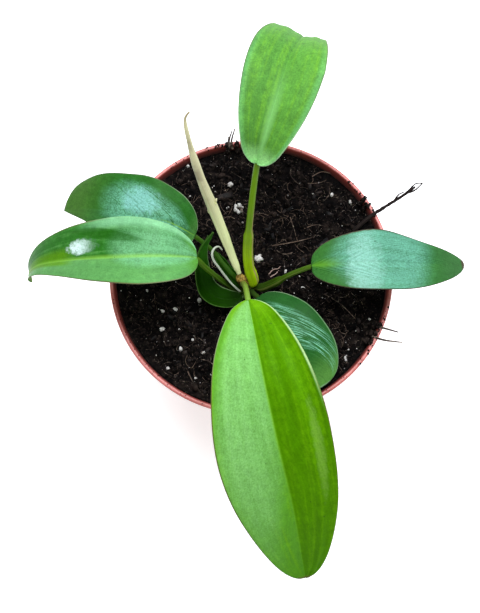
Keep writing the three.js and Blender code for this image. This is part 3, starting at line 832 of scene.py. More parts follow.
bract_bm = bmesh.new()
tube(bract_bm, BRACT_LINE, bract_radius, sides=48, steps=170)
bract, tree, shader = material_named("dry_bract")
uv = sheet_place(tree)
where = object_place(tree)
parts = add(tree, "SeparateXYZ", {0: uv})
ribs = noise_of(stretched(uv, (22.0, 1.6, 1.0)), 2.0, 4.0, 0.6)
blotchy = noise_of(where, 160.0, 3.0)
papery = blended(ribs, seen(178, 172, 122), seen(228, 224, 184))
greenish = blended(ribs, seen(222, 230, 148), seen(252, 255, 206))
cream = blended(step_between(parts[1], 0.6, 0.25), papery, greenish)
# The upper part is darkened in blotches on its left side.
upper_left_blotches = step_between(parts[1], 0.42, 0.7) * step_between(blotchy, 0.4, 0.62)
on_left = step_between(parts[0], 0.35, 0.5) * step_between(parts[0], 0.85, 0.7)
cream = blended(upper_left_blotches * on_left * 0.8, cream, seen(150, 138, 112))
seam = step_between(abs(parts[0] - 0.655), 0.03, 0.005)
cream = blended(seam * 0.25, cream, seen(140, 132, 78))
dry_tip = step_between(parts[1], 0.9, 1.0)
cream = blended(dry_tip * 0.6, cream, seen(176, 150, 110))
fed(shader, {"Base Color": cream, "Roughness": ranging(ribs, 0.45, 0.75)})
bump(shader, ribs + blotchy * 0.3, 0.12)
for share, centre, across, length in ((0.49, -0.6, 2.4, 1.7), (0.44, 2.9, 1.8, 1.3)):
    made = mapped_sheet(bract_bm, 8, 10, bract_lip(share, centre, across, length))
    faces = list({face for vert in made for face in vert.link_faces})
    bmesh.ops.solidify(bract_bm, geom=faces, thickness=0.2)
bmesh.ops.recalc_face_normals(bract_bm, faces=bract_bm.faces)
finished(bract_bm, "rolled_bract", [bract], ["dry_sheath"])


# The long south leaf
# The newest leaf and the largest: thin, fleshy and waxy, folded along its midrib, which its stalk
# runs into from below. The left half carries a bluish sheen painted into its colour, the right half is
# bare yellow-green and a little ridged, with a streak of painted highlight and a patch of painted shade,
# and its right margin rolls up pale near the stalk.
VEIN_SWEEP = 0.55
MIDRIB_RUN = (0, 0.06, 0.16, 0.4, 0.68, 0.94)
MIDRIB_SUNK = 0.3
MIDRIB_THIN = 0.22
BLADE_THICKNESS = 0.52


def leaf_outline(share, blade, is_left):
    """How wide half a blade is at a share of its length: 1 at its widest, then down to a blunt tip."""
    half = 0 if is_left else 1
    widest = blade["widest"][half]
    if share < widest:
        return math.sin(math.pi / 2 * share / widest) ** blade["base_round"][half]
    part = (share - widest) / (1 - widest)
    blunt, curve = blade["tip"][half]
    return (1 - (1 - blunt) * part ** curve) * max(1 - part ** 18, 0) ** 0.5


def vein_pleats(share, across, height, count):
    """Ridges along the side veins, which leave the midrib and sweep forward."""
    return height * math.sin(math.tau * count * (share - VEIN_SWEEP * abs(across) ** 1.4))


def margin_waves(share, across, height, count, start):
    """Waves that grow towards the margin and calm towards the tip."""
    rise = abs(across) ** 3 * smooth(4 * (1 - share))
    return height * math.sin(math.tau * (count * share + start)) * rise


def blade_place(blade, frame_at, share, across, relief):
    """A point of the blade's middle surface. relief(share, across) lifts it, in millimetres."""
    at, side, up = frame_at
    is_left = across < 0
    reach = abs(across)
    half = (blade["left"] if is_left else blade["right"]) * leaf_outline(share, blade, is_left) + 0.5
    fold = math.radians(blade["folds"][0 if is_left else 1])
    cup = math.radians(blade["cup"]) * smooth(share * 4) + 1e-4
    outward = math.sin(cup * reach) / cup
    upward = (1 - math.cos(cup * reach)) / cup
    sideways = half * (math.cos(fold) * outward - math.sin(fold) * upward)
    lift = half * (math.sin(fold) * outward + math.cos(fold) * upward)
    crease = blade.get("crease", 0.04)
    lift -= half * math.sin(fold) * (outward - math.sqrt(outward ** 2 + crease ** 2) + crease)
    groove = -blade.get("groove", 0.3) * math.exp(-(reach * half / 0.8) ** 2) * (1 - smooth(share / 0.9))
    veins = vein_pleats(share, across, 0.02, 24) * smooth(reach * 4) * smooth(4 * (1 - share))
    lift += groove + veins + relief(share, across)
    return at + side * (math.copysign(sideways, across) if across else 0) + up * lift


def grow_blade(name, blade, skins, relief, replaces=(), columns=56, rows=130):
    """Lays a blade's sheet along its midrib, thickens it and thins it to its margin."""
    shares = [number / rows for number in range(rows + 1)]
    eased = [0.5 - 0.5 * math.cos(math.pi * share) for share in shares]
    shares = [0.6 * share + 0.4 * ease for share, ease in zip(shares, eased)]
    frames = frames_along(blade["midrib"], shares)
    bm = bmesh.new()
    bm.verts.layers.deform.verify()

    def across_of(u):
        even = 2 * u - 1
        return even * (0.55 + 0.75 * abs(even) - 0.3 * even * even)

    def place(u, v):
        row = round(v * rows)
        return blade_place(blade, frames[row], shares[row], across_of(u), relief)

    made = mapped_sheet(bm, columns, rows, place)
    uv_layer = bm.loops.layers.uv["UVMap"]
    deform = bm.verts.layers.deform.verify()
    for vert in made:
        u, v = vert.link_loops[0][uv_layer].uv
        across, share = across_of(u), shares[round(v * rows)]
        vert[deform][0] = 1 - 0.7 * abs(across) ** 8
        for corner in vert.link_loops:
            corner[uv_layer].uv = ((across + 1) / 2, share)
    piece = finished(bm, name, skins, replaces)
    piece.vertex_groups.new(name="flesh")
    wall = piece.modifiers.new("thickness", "SOLIDIFY")
    wall.thickness = blade.get("thickness", BLADE_THICKNESS) * MM
    wall.offset = 0
    wall.vertex_group = "flesh"
    wall.thickness_vertex_group = 0.3
    wall.material_offset = 1
    return piece


def grow_stalk(name, leaf, skin, shape=None):
    """The stalk, which runs on under the blade as its midrib and thins there."""
    petiole, thick = leaf["petiole"], leaf["thick"]
    end = thick[-1][1]
    under = []
    for share, (at, side, up) in zip(MIDRIB_RUN, frames_along(leaf["midrib"], MIDRIB_RUN)):
        thinning = share ** 0.7
        under.append(at - up * (MIDRIB_SUNK + end * (1 - thinning) + MIDRIB_THIN * thinning))
    points = [Vector(point) for point in petiole[:-1]] + under
    reach = line_through(points[:len(petiole)])[1][-1] / line_through(points)[1][-1]

    def radius_at(share, angle):
        if share < reach:
            radius = read_off(thick, share / reach)
        else:
            thinning = ((share - reach) / (1 - reach)) ** 0.7
            radius = end * (1 - thinning) + MIDRIB_THIN * thinning
        return radius * (shape(share / reach, angle) if shape and share < reach else 1)

    bm = bmesh.new()
    tube(bm, points, radius_at, sides=28, steps=120)
    bmesh.ops.recalc_face_normals(bm, faces=bm.faces)
    return finished(bm, name, [skin])


leaf_tissue = bpy.data.node_groups.new("leaf_tissue", "ShaderNodeTree")
# Three of these colours are painted light: a soft painted sheen, a hard painted highlight and a patch of
# painted shade.
LEAF_COLOURS = {
    "Left": seen(110, 185, 100), "Right": seen(105, 180, 20), "Foot": seen(120, 190, 90),
    "Tip": seen(90, 165, 60),
    "Midrib": seen(150, 210, 110), "Margin": seen(110, 120, 60), "Lip": seen(190, 230, 180),
    "Band": seen(150, 205, 60), "Bloom": seen(160, 220, 190), "Shine": seen(225, 245, 240),
    "Shade": seen(40, 100, 30),
}
LEAF_NUMBERS = {
    "Foot Length": 0.2, "Tip Start": 0.85, "Tip End": 1.0, "Tip Width": 4.0, "Dry Tip": 0.985,
    "Pale Foot": 0.0, "Midrib Width": 0.05,
    "Midrib Fade": 0.9, "Midrib Strength": 0.6, "Margin Width": 0.03, "Lip Width": 0.1, "Lip End": 0.5,
    "Lip Side": 0.0, "Lip Strength": 0.0, "Band Strength": 0.2, "Vein Strength": 0.12,
    "Bloom Along": 0.5, "Bloom Length": 0.25, "Bloom Across": 0.0, "Bloom Width": 0.8,
    "Bloom Strength": 0.0,
    "Bloom Streaks": 0.5, "Bloom Sweep": 1.0, "Bloom Side": 0.0,
    "Shine Along": 0.5, "Shine Length": 0.1, "Shine Across": 0.0, "Shine Width": 0.3, "Shine Strength": 0.0,
    "Shine Softness": 0.8, "Shine Fade": 0.0,
    "Shade Along": 0.5, "Shade Length": 0.2, "Shade Across": 0.0, "Shade Width": 0.3, "Shade Strength": 0.0,
    "Pebbling": 0.25, "Gloss": 0.4,
}
for name, value in LEAF_COLOURS.items():
    socket = leaf_tissue.interface.new_socket(name, in_out="INPUT", socket_type="NodeSocketColor")
    socket.default_value = value
for name, value in LEAF_NUMBERS.items():
    socket = leaf_tissue.interface.new_socket(name, in_out="INPUT", socket_type="NodeSocketFloat")
    socket.default_value = value
leaf_tissue.interface.new_socket("Colour", in_out="OUTPUT", socket_type="NodeSocketColor")
for name in ("Roughness", "Height"):
    leaf_tissue.interface.new_socket(name, in_out="OUTPUT", socket_type="NodeSocketFloat")


def scaled(colour, amount):
    """A colour made lighter or darker."""
    return add(colour.tree, "VectorMath", {0: colour, 3: amount}, operation="SCALE")[0]


def off_patch(given, kind, across, along):
    """How far a place is from a patch on the leaf: 0 at its middle and 1 at its edge."""
    aside = (across - given[kind + " Across"]) / given[kind + " Width"]
    onward = (along - given[kind + " Along"]) / given[kind + " Length"]
    return aside * aside + onward * onward


def one_side(across, side):
    """1 on the half that side names (-1 or 1), or on both halves if it is 0."""
    return step_between(across * side, -0.02, 0.02).by("MAXIMUM", 1.0 - abs(side))


tree = leaf_tissue
given = outputs_of(tree.nodes.new("NodeGroupInput"))
put_out = tree.nodes.new("NodeGroupOutput")
uv = sheet_place(tree)
where = object_place(tree)
parts = add(tree, "SeparateXYZ", {0: uv})
across = parts[0] * 2.0 - 1.0
share = parts[1]
reach = abs(across)
wander = noise_of(where, 70.0, 2.0)
mottle = noise_of(where, 220.0, 3.0)
blotch = noise_of(where, 420.0, 3.0, 0.6)
cells = noise_of(where, 1500.0, 3.0, 0.7)

# Side veins leave the midrib and sweep forward to the margin, and streaks follow them.
swept = reach.by("POWER", 1.4) * VEIN_SWEEP
vein_place = wander * 0.03 + share - swept
veins = step_between((vein_place * 46.0).by("PINGPONG", 1.0), 0.55, 1.0)
vein_axes = {0: vein_place * 60.0, 1: reach * 2.5, 2: across * 0.8}
streaks = noise_of(add(tree, "CombineXYZ", vein_axes)[0], 1.0, 4.0, 0.65)
band_axes = {0: across * 7.0, 1: share * 1.6}
bands = noise_of(add(tree, "CombineXYZ", band_axes)[0], 1.0, 4.0, 0.55)

colour = blended(step_between(across, -0.02, 0.02), given["Left"], given["Right"])
banded = step_between(blotch * 0.3 + bands, 0.6, 0.85) * given["Band Strength"]
colour = blended(banded, colour, given["Band"])
colour = blended(step_between(share / given["Foot Length"], 1.0, 0.15), colour, given["Foot"])
tip = step_between(streaks * 0.08 + share, given["Tip Start"], given["Tip End"])
tip *= step_between(reach / given["Tip Width"], 1.2, 0.5)
colour = blended(tip, colour, given["Tip"])
lip = step_between((1.0 - reach) / given["Lip Width"], 1.0, 0.3)
on_side = one_side(across, given["Lip Side"])
near_foot = step_between(share / given["Lip End"], 1.0, 0.6)
colour = blended(lip * on_side * near_foot * given["Lip Strength"], colour, given["Lip"])

# A painted sheen veils the leaf in a soft patch, thinner where the streaks run.
reflection_place = wander * 0.15 + share - swept * given["Bloom Sweep"]
reflection = step_between(off_patch(given, "Bloom", across, reflection_place), 1.4, 0.2)
thin_below = given["Bloom Streaks"] * 0.68 - 0.12
thin = step_between(streaks, thin_below, thin_below + 0.2)
grainy = 1.0 + (cells - 0.5) * (given["Pebbling"] * 4.0)
stroked = 1.0 + (bands - 0.5) * 1.7
reflection = reflection * thin * grainy * stroked * one_side(across, given["Bloom Side"]) * given["Bloom Strength"]
colour = blended(reflection.by("MINIMUM", 1.0), colour, given["Bloom"])

# Where the blade dips, a dark patch is painted: painted shade, for the dark things it mirrors there.
shade = step_between(off_patch(given, "Shade", across, streaks * 0.1 + vein_place), 1.3, 0.4)
colour = blended(shade * given["Shade Strength"], colour, given["Shade"])

shaded = mottle * 0.36 + 0.82 + (streaks - 0.5) * 0.25 + (bands - 0.5) * 0.2
shaded += ((cells - 0.5) * 1.8 + blotch - 0.5) * given["Pebbling"] + (veins - 0.4) * given["Vein Strength"]
colour = scaled(colour, shaded)

middle = step_between(reach / given["Midrib Width"], 1.0, 0.0) * given["Midrib Strength"]
middle *= step_between(share / given["Midrib Fade"], 1.0, 0.3)
colour = blended(middle, colour, given["Midrib"])

# A painted highlight: a smooth patch of painted sky reflection, its edge broken by the veins.
highlight_place = (streaks - 0.5) * 0.06 + share
broken = off_patch(given, "Shine", across, highlight_place) + (blotch - 0.5) * 2.5
highlight = step_between(broken, 1.0 + given["Shine Softness"], 1.0 - given["Shine Softness"])
dim = step_between((share - given["Shine Along"]) / given["Shine Length"], 0.5, -1.0) * given["Shine Fade"]
highlight *= (1.0 - dim) * (0.4 + streaks * 1.2) * given["Shine Strength"] * grainy
colour = blended(highlight.by("MINIMUM", 1.0), colour, given["Shine"])

edge = step_between((1.0 - reach) / given["Margin Width"], 1.0, 0.3)
edge *= 1.0 - near_foot * on_side * given["Lip Strength"]
dry = step_between(share + (blotch - 0.5) * 0.03, given["Dry Tip"], given["Dry Tip"] + 0.012)
pale_foot = step_between(share, 0.34, 0.1) * given["Pale Foot"]
margin = blended(pale_foot, given["Margin"], seen(196, 222, 182))
colour = blended(edge.by("MAXIMUM", dry), colour, margin)
specks = step_between(noise_of(where, 520.0, 1.0), 0.79, 0.81)
colour = blended(specks * 0.6, colour, seen(30, 44, 24))
dull = given["Gloss"] + (mottle - 0.5) * 0.2 + streaks * 0.06
fed(put_out, {"Colour": colour, "Roughness": dull, "Height": cells * 0.7 + veins * 0.2 + streaks * 0.35})


def leaf_skin(name, relief=0.07, sheen=0.12, **looks):
    """A leaf's upper or lower skin, its tissue set by this leaf's own colours and places."""
    material, tree, shader = material_named(name)
    tissue = effect(tree, leaf_tissue, **looks)
    fed(
        shader,
        {"Base Color": tissue["Colour"], "Roughness": tissue["Roughness"], "Specular IOR Level": sheen,
            "IOR": 1.3}
    )
    bump(shader, tissue["Height"], relief)
    return material


def underside(name, colour, rib):
    return leaf_skin(
        name, 0.2, Left=colour, Right=colour, Foot=rib, Tip=colour, Midrib=rib, Margin=rib, Band=rib,
        Midrib_Width=0.12, Midrib_Strength=0.7, Midrib_Fade=1.2, Vein_Strength=0.25, Gloss=0.6
    )


def stalk_skin(name, foot, shaft, neck, line, line_at=0.0, line_strength=0.0):
    """A stalk's skin: its colour from foot to neck, fine lengthwise streaks, and its margin's line."""
    material, tree, shader = material_named(name)
    uv = sheet_place(tree)
    parts = add(tree, "SeparateXYZ", {0: uv})
    grain = noise_of(stretched(uv, (14.0, 2.5, 1.0)), 2.0, 3.0)
    speckle = noise_of(object_place(tree), 600.0, 3.0)
    skin = blended(step_between(parts[1], 0.03, 0.28), foot, shaft)
    skin = blended(step_between(parts[1], 0.28, 0.5), skin, neck)
    lined = step_between(abs(parts[0] - line_at), 0.05, 0.015) * step_between(parts[1], 0.34, 0.26)
    skin = blended(lined * line_strength, skin, line)
    skin = scaled(skin, grain * 0.4 + (speckle - 0.5) * 0.25 + 0.8)
    fed(shader, {"Base Color": skin, "Roughness": ranging(grain, 0.32, 0.5), "Specular IOR Level": 0.2})
    bump(shader, grain + speckle * 0.4, 0.08)
    return material


def hump(x, low, high):
    """Rises from 0 at low to 1 halfway and falls to 0 at high."""
    return math.sin(math.pi * min(max((x - low) / (high - low), 0), 1))


SOUTH = {
    "petiole": [(-3.6, -6.2, 99), (-3.4, -8, 104.5), (-2.5, -13, 118), (-1.5, -21.5, 131)],
    "thick": [(0, 1.2), (0.15, 1.25), (0.4, 1.15), (1, 1.1)],
    "midrib": [(-1.5, -21.5, 131), (0, -32, 140), (3.5, -52, 145), (8.7, -75.5, 138), (15.4, -100, 120.5),
        (21, -124.8, 95.5)],
    "left": 19.8, "right": 23.6, "widest": (0.46, 0.5), "base_round": (0.75, 0.8),
    "tip": ((0.25, 2.0), (0.2, 1.8)),
    "folds": (18, 18), "cup": -6,
}


def south_relief(share, across):
    roll = 1.5 * smooth((-across - 0.86) / 0.14) * hump(share, 0.0, 0.62)
    left_lip = 0.7 * smooth((across - 0.9) / 0.1) * hump(share, 0.0, 0.5)
    ridges = 0.0
    if across < -0.1:
        ridges = 0.28 * math.sin(math.tau * (-2.6 * across - 0.5 * share))
        ridges *= hump(-across, 0.1, 1.05) * smooth(share * 4)
    waves = margin_waves(share, across, 0.3, 3.2, 0.2)
    return roll + left_lip + ridges + waves


south_top = leaf_skin(
    "south_leaf_top", Left=seen(75, 131, 0), Right=seen(86, 148, 38), Foot=seen(102, 158, 6),
    Tip=seen(66, 126, 0), Midrib=seen(118, 176, 40), Margin=seen(92, 100, 40), Lip=seen(190, 222, 160),
    Band=seen(104, 160, 8), Bloom=seen(122, 180, 102), Shine=seen(146, 190, 84), Shade=seen(62, 116, 0),
    Foot_Length=0.14, Tip_Start=0.8, Tip_End=1.2, Pale_Foot=0.3, Midrib_Width=0.045, Midrib_Fade=1.0,
    Midrib_Strength=0.5, Margin_Width=0.02, Lip_Width=0.055, Lip_End=0.42, Lip_Side=-1.0,
    Lip_Strength=0.75, Band_Strength=0.5, Vein_Strength=0.04, Bloom_Along=0.15, Bloom_Length=0.52,
    Bloom_Across=0.32, Bloom_Width=0.7, Bloom_Strength=0.74, Bloom_Streaks=0.3, Bloom_Side=1.0,
    Shine_Along=0.53, Shine_Length=0.14, Shine_Across=-0.74, Shine_Width=0.09, Shine_Strength=0.28,
    Shade_Along=0.25, Shade_Length=0.35, Shade_Across=-0.2, Shade_Width=0.25, Shade_Strength=0.4,
    Pebbling=0.36, Gloss=0.45, sheen=0.06,
)
south_under = underside("south_leaf_under", seen(128, 178, 96), seen(156, 200, 110))
south_stalk = stalk_skin(
    "south_leaf_stalk", seen(104, 120, 40), seen(112, 150, 44), seen(128, 178, 70), seen(160, 180, 110)
)
grow_blade(
    "south_blade", SOUTH, [south_top, south_under], south_relief, ["leaf_south"], 64, 190
)
grow_stalk("south_stalk", SOUTH, south_stalk)


# The upright north leaf
# It stands highest on a stout stalk, whose foot is an open green sheath with a pinkish edge, and arches
# away. A broad pale streak follows its midrib from the stalk.
NORTH = {
    "petiole": [(0.5, -5, 92), (0.5, -4, 97), (-1, -1, 106), (-1.5, 3.5, 115), (-0.5, 13.5, 133),
        (1.5, 27, 150)],
    "thick": [(0, 1.6), (0.06, 2.6), (0.13, 2.6), (0.22, 2.15), (0.48, 2), (0.54, 1.35), (1, 1.15)],
    "midrib": [(1.5, 27, 150), (4, 32.5, 158), (8.5, 46, 165), (14, 63.8, 164.2), (19.5, 78.5, 150.4),
        (22, 84, 134), (22.5, 84.5, 118)],
    "left": 15, "right": 14.5, "widest": (0.4, 0.4), "base_round": (0.6, 0.54),
    "tip": ((0.3, 2.0), (0.0, 1.2)),
    "folds": (28, 20), "cup": -30,
}


def north_relief(share, across):
    lip = 0.8 * smooth((abs(across) - 0.8) / 0.2) * hump(share, -0.1, 0.3)
    bands = 0.14 * math.sin(math.tau * 2.2 * abs(across)) * smooth(share * 5)
    waves = margin_waves(share, across, 0.25, 2.7, 0.1)
    return lip + bands + waves


def open_sheath(share, angle):
    """The groove between the sheath's two margins, on the upper side of the stalk's foot."""
    groove = math.exp(-((angle - 1.5 * math.pi) / 0.38) ** 2) * hump(share, 0.05, 0.56)
    margins = math.exp(-((abs(angle - 1.5 * math.pi) - 0.72) / 0.2) ** 2) * hump(share, 0.0, 0.58)
    return 1 - 0.42 * groove + 0.08 * margins


north_top = leaf_skin(
    "north_leaf_top", Left=seen(80, 137, 54), Right=seen(84, 143, 54), Foot=seen(164, 230, 144),
    Tip=seen(80, 132, 66), Midrib=seen(150, 216, 128), Margin=seen(100, 104, 80), Lip=seen(104, 172, 104),
    Band=seen(104, 160, 42), Foot_Length=0.1, Tip_Start=0.66, Tip_End=0.85, Pale_Foot=0.9,
    Midrib_Width=0.24, Midrib_Fade=0.44, Midrib_Strength=0.65, Margin_Width=0.045, Lip_Width=0.22,
    Lip_End=0.62, Lip_Strength=0.5, Band_Strength=0.55, Vein_Strength=0.05, Pebbling=0.65, Gloss=0.5,
)
north_under = underside("north_leaf_under", seen(126, 176, 92), seen(150, 196, 104))
north_stalk = stalk_skin("north_leaf_stalk", seen(190, 230, 16), seen(98, 136, 4), seen(94, 134, 14),
                         seen(176, 150, 110), line_at=0.93, line_strength=0.8)
grow_blade("north_blade", NORTH, [north_top, north_under], north_relief, ["leaf_north"])
grow_stalk("north_stalk", NORTH, north_stalk, open_sheath)


# The east leaf
# It leans out low over the rim. A broad bluish sheen is painted across its middle, with a painted
# highlight along the sheen's edge nearer the foot, its tip and foot left plain green, and its tip has
# begun to brown.
EAST = {
    "petiole": [(1, -5.5, 90.8), (4.5, -6.5, 92.5), (8.5, -6, 96), (16.5, -4.5, 107), (24, -3.5, 116)],
    "thick": [(0, 1.3), (0.12, 1.9), (0.4, 1.8), (0.52, 1.1), (1, 1)],
    "midrib": [(24, -3.5, 116), (33, -3.5, 119), (48, -3, 120), (64, -2, 114), (77.5, 0, 106),
        (89, 2.5, 97)],
    "left": 13.1, "right": 11, "widest": (0.38, 0.38), "base_round": (0.4, 0.4),
    "tip": ((0.15, 1.4), (0.25, 1.9)),
    "folds": (8, 8), "cup": -10, "crease": 0.45, "groove": 0.2,
}


def east_relief(share, across):
    pleats = vein_pleats(share, across, 0.26, 17) * hump(share, -0.1, 0.5)
    waves = margin_waves(share, across, 0.4, 2.1, 0.35)
    return pleats * smooth(abs(across) * 5) + waves


east_top = leaf_skin(
    "east_leaf_top", Left=seen(48, 106, 54), Right=seen(54, 112, 50), Foot=seen(56, 112, 46),
    Tip=seen(52, 102, 50), Midrib=seen(98, 156, 34), Margin=seen(72, 66, 50), Band=seen(64, 126, 60),
    Bloom=seen(96, 158, 134), Shine=seen(164, 216, 204), Foot_Length=0.22, Tip_Start=0.7, Tip_End=0.9,
    Dry_Tip=0.97, Midrib_Width=0.34, Midrib_Fade=0.22, Margin_Width=0.045, Band_Strength=0.3,
    Vein_Strength=0.22, Bloom_Along=0.48, Bloom_Length=0.31, Bloom_Across=-0.15, Bloom_Width=1.5,
    Bloom_Strength=0.85, Bloom_Streaks=0.42, Bloom_Sweep=0.1, Shine_Along=0.3, Shine_Length=0.09,
    Shine_Across=0.35, Shine_Width=1.2, Shine_Strength=0.34, Shine_Softness=0.98, Shine_Fade=-0.6,
    Pebbling=0.42, Gloss=0.36,
)
east_under = underside("east_leaf_under", seen(96, 150, 84), seen(128, 172, 88))
east_stalk = stalk_skin(
    "east_leaf_stalk", seen(36, 58, 6), seen(66, 98, 8), seen(92, 126, 14), seen(120, 130, 60),
    line_at=0.9, line_strength=0.5
)
grow_blade("east_blade", EAST, [east_top, east_under], east_relief, ["leaf_east"])
grow_stalk("east_stalk", EAST, east_stalk, open_sheath)


# The glossy west leaf
# The highest of the two on the left. Its skin is shiny, with a hard bright patch of painted highlight
# towards the tip, a painted sheen and patches of painted shade nearer the stalk, a paler upper margin,
# and a dry brown tip that hooks down.
WEST = {
    "petiole": [(-3, -7, 90), (-6.5, -7.5, 91.5), (-10, -6, 95), (-14, -5, 103.5), (-18.5, -4, 114.5),
        (-21.5, -3, 126)],
    "thick": [(0, 1.3), (0.2, 1.25), (0.5, 1.1), (1, 1.1)],
    "midrib": [(-21.5, -3, 126), (-31.5, -4.9, 134.5), (-42, -5.3, 136), (-57, -4.2, 130),
        (-75.5, -1.6, 116), (-88.5, -0.5, 104), (-93.4, -1.8, 95), (-93.2, -3.2, 90.5)],
    "left": 11.7, "right": 15.5, "widest": (0.26, 0.38), "base_round": (0.5, 0.42),
    "tip": ((0.1, 1.15), (0.2, 1.9)),
    "folds": (14, 14), "cup": -8, "crease": 0.12,
}


def west_relief(share, across):
    dents = 0.35 * math.sin(math.tau * 1.6 * share + 1.1) * smooth(share * 4)
    dents *= math.sin(math.pi * abs(across))
    waves = margin_waves(share, across, 0.3, 2.4, 0.6)
    return dents + waves


west_top = leaf_skin(
    "west_leaf_top", Left=seen(86, 146, 78), Right=seen(40, 106, 28), Foot=seen(80, 142, 52),
    Tip=seen(78, 134, 6), Midrib=seen(140, 198, 74), Margin=seen(100, 104, 60), Lip=seen(134, 198, 146),
    Band=seen(98, 158, 82), Bloom=seen(104, 166, 114), Shine=seen(216, 242, 236), Shade=seen(28, 88, 10),
    Foot_Length=0.1, Tip_Start=0.6, Tip_End=0.72, Tip_Width=0.4, Dry_Tip=0.965, Pale_Foot=0.2,
    Midrib_Width=0.11, Midrib_Fade=1.5, Midrib_Strength=0.5, Margin_Width=0.045, Lip_Width=0.36,
    Lip_End=0.62, Lip_Side=1.0, Lip_Strength=0.85, Band_Strength=0.4, Vein_Strength=0.03,
    Bloom_Along=0.25, Bloom_Length=0.22, Bloom_Across=0.2, Bloom_Width=0.62, Bloom_Strength=0.95,
    Bloom_Streaks=0.3, Bloom_Sweep=0.1, Shine_Along=0.55, Shine_Length=0.075, Shine_Across=0.33,
    Shine_Width=0.18, Shine_Strength=1.0, Shine_Softness=0.7, Shine_Fade=0.9, Shade_Along=0.22,
    Shade_Length=0.12, Shade_Across=0.6, Shade_Width=0.24, Shade_Strength=0.75, Pebbling=0.45, Gloss=0.3,
)
west_under = underside("west_leaf_under", seen(112, 164, 88), seen(140, 186, 96))
west_stalk = stalk_skin(
    "west_leaf_stalk", seen(56, 92, 10), seen(70, 108, 10), seen(92, 134, 24), seen(150, 170, 90),
    line_at=0.6, line_strength=0.2
)
grow_blade("west_blade", WEST, [west_top, west_under], west_relief, ["leaf_west"])
grow_stalk("west_stalk", WEST, west_stalk)


# The dark northwest leaf
# An older leaf behind the glossy one, deep green with a streaked bluish sheen and a brighter highlight,
# both painted into its colour. Its sheath stands open round the crown, its left margin dried pale and
# curled over.
NORTHWEST = {
    "petiole": [(-3.5, -5, 95), (-7.5, -3, 98.5), (-11.5, 1, 101), (-15.5, 5.5, 104), (-23, 10.5, 111.5)],
    "thick": [(0, 1.3), (0.3, 1.3), (0.6, 1), (1, 1)],
    "midrib": [(-23, 10.5, 111.5), (-33, 14.5, 116), (-41, 16.5, 117), (-53.5, 19.5, 114),
        (-67, 23.5, 107), (-79, 26, 98)],
    "left": 13, "right": 16.6, "widest": (0.45, 0.45), "base_round": (0.45, 0.5),
    "tip": ((0.02, 0.9), (0.5, 2.6)),
    "folds": (10, 10), "cup": -14, "crease": 0.3,
}
NORTHWEST_SHEATH = {
    "midrib": [(-3.5, -5.5, 94.5), (-7.5, -4, 97.8), (-11.5, 0.5, 100.3), (-15, 5.5, 103.3)],
    "left": 3.8, "right": 2.6, "widest": (0.35, 0.35), "base_round": (0.3, 0.3),
    "tip": ((0.3, 2.5), (0.3, 2.5)), "folds": (0, 10), "cup": 75,
    "thickness": 0.4,
}


DRIED_MARGIN = [
    (-12.2, 6.6, 104), (-13.4, 7.7, 105), (-15.4, 6.4, 106.5), (-16.2, 4, 107), (-15.6, 1.5, 106.5),
    (-13.3, -1.4, 105), (-10.5, -4.6, 102.5), (-7.6, -7.4, 100), (-4.6, -9.4, 97),
]


def northwest_relief(share, across):
    waves = margin_waves(share, across, 0.3, 2.9, 0.15)
    return waves + 0.1 * math.sin(math.tau * 2.1 * abs(across)) * hump(share, -0.1, 0.85)


def sheath_relief(share, across):
    return 0.2 * math.sin(math.tau * 3 * share) * abs(across) ** 2


northwest_top = leaf_skin(
    "northwest_leaf_top", Left=seen(40, 94, 44), Right=seen(38, 96, 30), Foot=seen(66, 116, 52),
    Tip=seen(60, 102, 36), Midrib=seen(118, 166, 40), Margin=seen(84, 104, 70), Band=seen(50, 108, 48),
    Bloom=seen(96, 158, 128), Shine=seen(140, 200, 196), Foot_Length=0.09, Tip_Start=0.6, Tip_End=0.95,
    Pale_Foot=0.35, Midrib_Width=0.06, Midrib_Fade=0.3, Midrib_Strength=0.8, Band_Strength=0.3,
    Vein_Strength=0.05, Bloom_Along=0.4, Bloom_Length=0.3, Bloom_Across=0.14, Bloom_Width=0.66,
    Bloom_Strength=0.85, Bloom_Streaks=0.62, Bloom_Sweep=0.4, Shine_Along=0.4, Shine_Length=0.12,
    Shine_Across=0.36, Shine_Width=0.3, Shine_Strength=0.5, Pebbling=0.62, Gloss=0.34,
)
northwest_under = underside("northwest_leaf_under", seen(66, 120, 60), seen(104, 150, 70))
northwest_stalk = stalk_skin("northwest_leaf_stalk", seen(44, 84, 10), seen(50, 88, 12), seen(88, 122, 26),
                             seen(150, 160, 110))
sheath_skin = leaf_skin(
    "northwest_sheath", Left=seen(26, 64, 12), Right=seen(30, 76, 12), Foot=seen(40, 60, 16),
    Tip=seen(40, 88, 20), Midrib=seen(60, 104, 24), Margin=seen(44, 84, 24), Band=seen(50, 96, 24),
    Margin_Width=0.1, Band_Strength=0.5, Gloss=0.42,
)
grow_blade("northwest_blade", NORTHWEST, [northwest_top, northwest_under], northwest_relief,
           ["leaf_northwest"])
grow_blade("northwest_sheath", NORTHWEST_SHEATH, [sheath_skin, northwest_under], sheath_relief,
           columns=30, rows=50)
grow_stalk("northwest_stalk", NORTHWEST, northwest_stalk)

margin_bm = bmesh.new()
tube(
    margin_bm, DRIED_MARGIN, lambda share, angle: 0.4 - 0.12 * math.cos(2 * angle) - 0.1 * share,
    sides=14, steps=70
)
dried, tree, shader = material_named("dried_margin")
uv = sheet_place(tree)
lengthwise = noise_of(stretched(uv, (6.0, 4.0, 1.0)), 2.0, 4.0)
fed(shader, {"Base Color": blended(lengthwise, seen(112, 124, 98), seen(232, 236, 222)), "Roughness": 0.6})
bump(shader, lengthwise, 0.1)
finished(margin_bm, "dried_margin", [dried])
